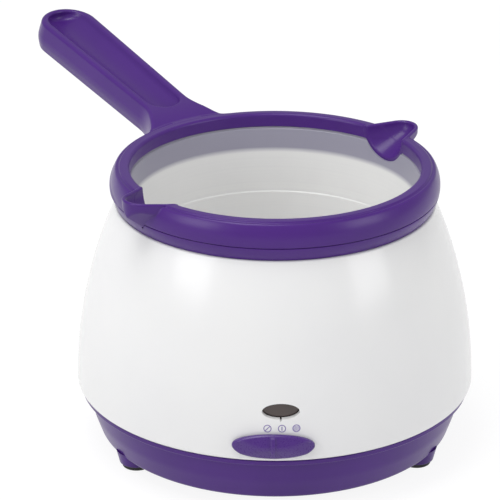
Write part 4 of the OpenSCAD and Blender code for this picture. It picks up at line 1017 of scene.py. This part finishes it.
# SCREWS. Plated steel pan heads with a cross recess: four through the base, three in the well,
# three under the heater, eight through the lower collar and two under the handle.
def screw(name, shank, length, head, height):
    """A screw whose head hangs below the origin and whose shank points up."""
    body = turned(name, rounded([
        (0, -height, 0), (head * 0.72, -height, height * 0.3), (head, -height * 0.55, height * 0.3),
        (head, 0, 0.1), (shank, 0, 0), (shank, length, 0.2), (0, length, 0),
    ]), 36)
    wide, narrow = head * 0.62, head * 0.13
    arm = [(narrow, narrow), (narrow, wide), (-narrow, wide), (-narrow, narrow), (-wide, narrow),
           (-wide, -narrow)]
    cross = np.array(arm + [(-x, -y) for x, y in arm])
    return carved(body, [prism("cross", cross, -height - 0.2, -height * 0.4, cross * 0.6)])


def fitted(piece, body, node_name):
    """Finishes a set of screws."""
    piece.data.materials.clear()
    piece.data.materials.append(steel)
    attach(piece, body)
    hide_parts(node_name)


shank_r, head_r, head_h = 1.4, 2.7, 1.5
screws = ring_of(screw("base_screw_set", shank_r, 20, head_r, head_h), 4, post_circle, 45)
fitted(moved(screws, (0, 0, 16)), "base", "base_screws")
screws = moved(screw("well_screw_set", shank_r, 13.7, head_r, head_h), turn=180, axis="X")
screws = ring_of(screws, 3, pillar_circle, 0)
fitted(moved(screws, (0, 0, well_floor_z)), "base", "liner_screws")
screws = ring_of(screw("heater_screw_set", shank_r, 3.5, head_r, head_h), 3, 30, 90)
fitted(moved(screws, (0, 0, 52.2)), "base", "heater_screws")
screws = screw("collar_screw_set", 1.0, 12.8, 1.7, head_h)
screws = ring_of(screws, 8, collar_screw_circle, collar_screw_start)
fitted(moved(screws, (0, 0, collar_screw_z)), "pot", "collar_screws")
screws = screw("grip_screw_set", shank_r, 6.6, head_r, 1.0)
screws = ring_of(screws, 2, (screw_x[1] - screw_x[0]) / 2, 0)
fitted(onto_handle(moved(screws, (sum(screw_x) / 2, 0, cover_z))), "pot", "handle_screws")
dressed(steel, "thermostat_screws", "switch_screws")


# FLOOR, LIGHT AND CAMERA. A pale sheet under soft boxes, seen as in the photograph. The sheet
# shows white to the camera and in gloss, and keeps the object's shadow.
half = 4000
corners = [(-half, -half, 0), (half, -half, 0), (half, half, 0), (-half, half, 0)]
floor = solid("floor_sheet", corners, [(0, 1, 2, 3)])
sheet = bpy.data.materials.new("pale floor")
sheet.use_nodes = True
tree = sheet.node_tree
tree.nodes.clear()
path = node(tree, "ShaderNodeLightPath").outputs
seen = node(tree, "ShaderNodeMath", {0: path["Is Camera Ray"], 1: path["Is Glossy Ray"]},
            operation="MAXIMUM").outputs[0]
seen = node(tree, "ShaderNodeMath", {0: seen, 1: path["Is Transmission Ray"]},
            operation="MAXIMUM").outputs[0]
matt = node(tree, "ShaderNodeBsdfDiffuse", {"Color": (0.8, 0.8, 0.8, 1)}).outputs[0]
glow = node(tree, "ShaderNodeEmission", {"Strength": 0.88}).outputs[0]
shade = node(tree, "ShaderNodeBsdfDiffuse", {"Color": (0.18, 0.18, 0.18, 1)}).outputs[0]
plain = node(tree, "ShaderNodeAddShader", {0: glow, 1: shade}).outputs[0]
mixed = node(tree, "ShaderNodeMixShader", {0: seen, 1: matt, 2: plain}).outputs[0]
node(tree, "ShaderNodeOutputMaterial", {"Surface": mixed})
floor.data.materials.append(sheet)

world = bpy.data.worlds.new("studio")
scene.world = world
world.use_nodes = True
tree = world.node_tree
tree.nodes.clear()
path = node(tree, "ShaderNodeLightPath").outputs
seen = node(tree, "ShaderNodeMath", {0: path["Is Camera Ray"], 1: path["Is Transmission Ray"]},
            operation="MAXIMUM").outputs[0]
room = node(tree, "ShaderNodeBackground", {"Color": (1, 1, 1, 1), "Strength": 0.475}).outputs[0]
white_room = node(tree, "ShaderNodeBackground", {"Color": (1, 1, 1, 1), "Strength": 1.0}).outputs[0]
mixed = node(tree, "ShaderNodeMixShader", {0: seen, 1: room, 2: white_room}).outputs[0]
node(tree, "ShaderNodeOutputWorld", {"Surface": mixed})

lamp_size = 0.8
lamp_aim = Vector((0, 0, 0.07))
for name, spot, power in (
    ("soft box above", (-0.35, -0.2, 1.45), 9.5),
    ("soft box left", (-1.4, -0.9, 0.8), 7.6),
    ("soft box right", (1.5, -0.8, 0.7), 6.5),
):
    lamp = bpy.data.lights.new(name, "AREA")
    lamp.size = lamp_size
    lamp.energy = power
    box = bpy.data.objects.new(name, lamp)
    scene.collection.objects.link(box)
    box.location = spot
    box.rotation_euler = (lamp_aim - box.location).to_track_quat("-Z", "Y").to_euler()

camera = bpy.data.objects.new("camera", bpy.data.cameras.new("camera"))
scene.collection.objects.link(camera)
camera.data.sensor_width = 36
camera.data.lens = 177.84
camera.location = (-0.0314, -0.9995, 0.5071)
camera.rotation_euler = (math.radians(67.2), 0, math.radians(-1.17))
scene.camera = camera
scene.view_settings.view_transform = "Standard"
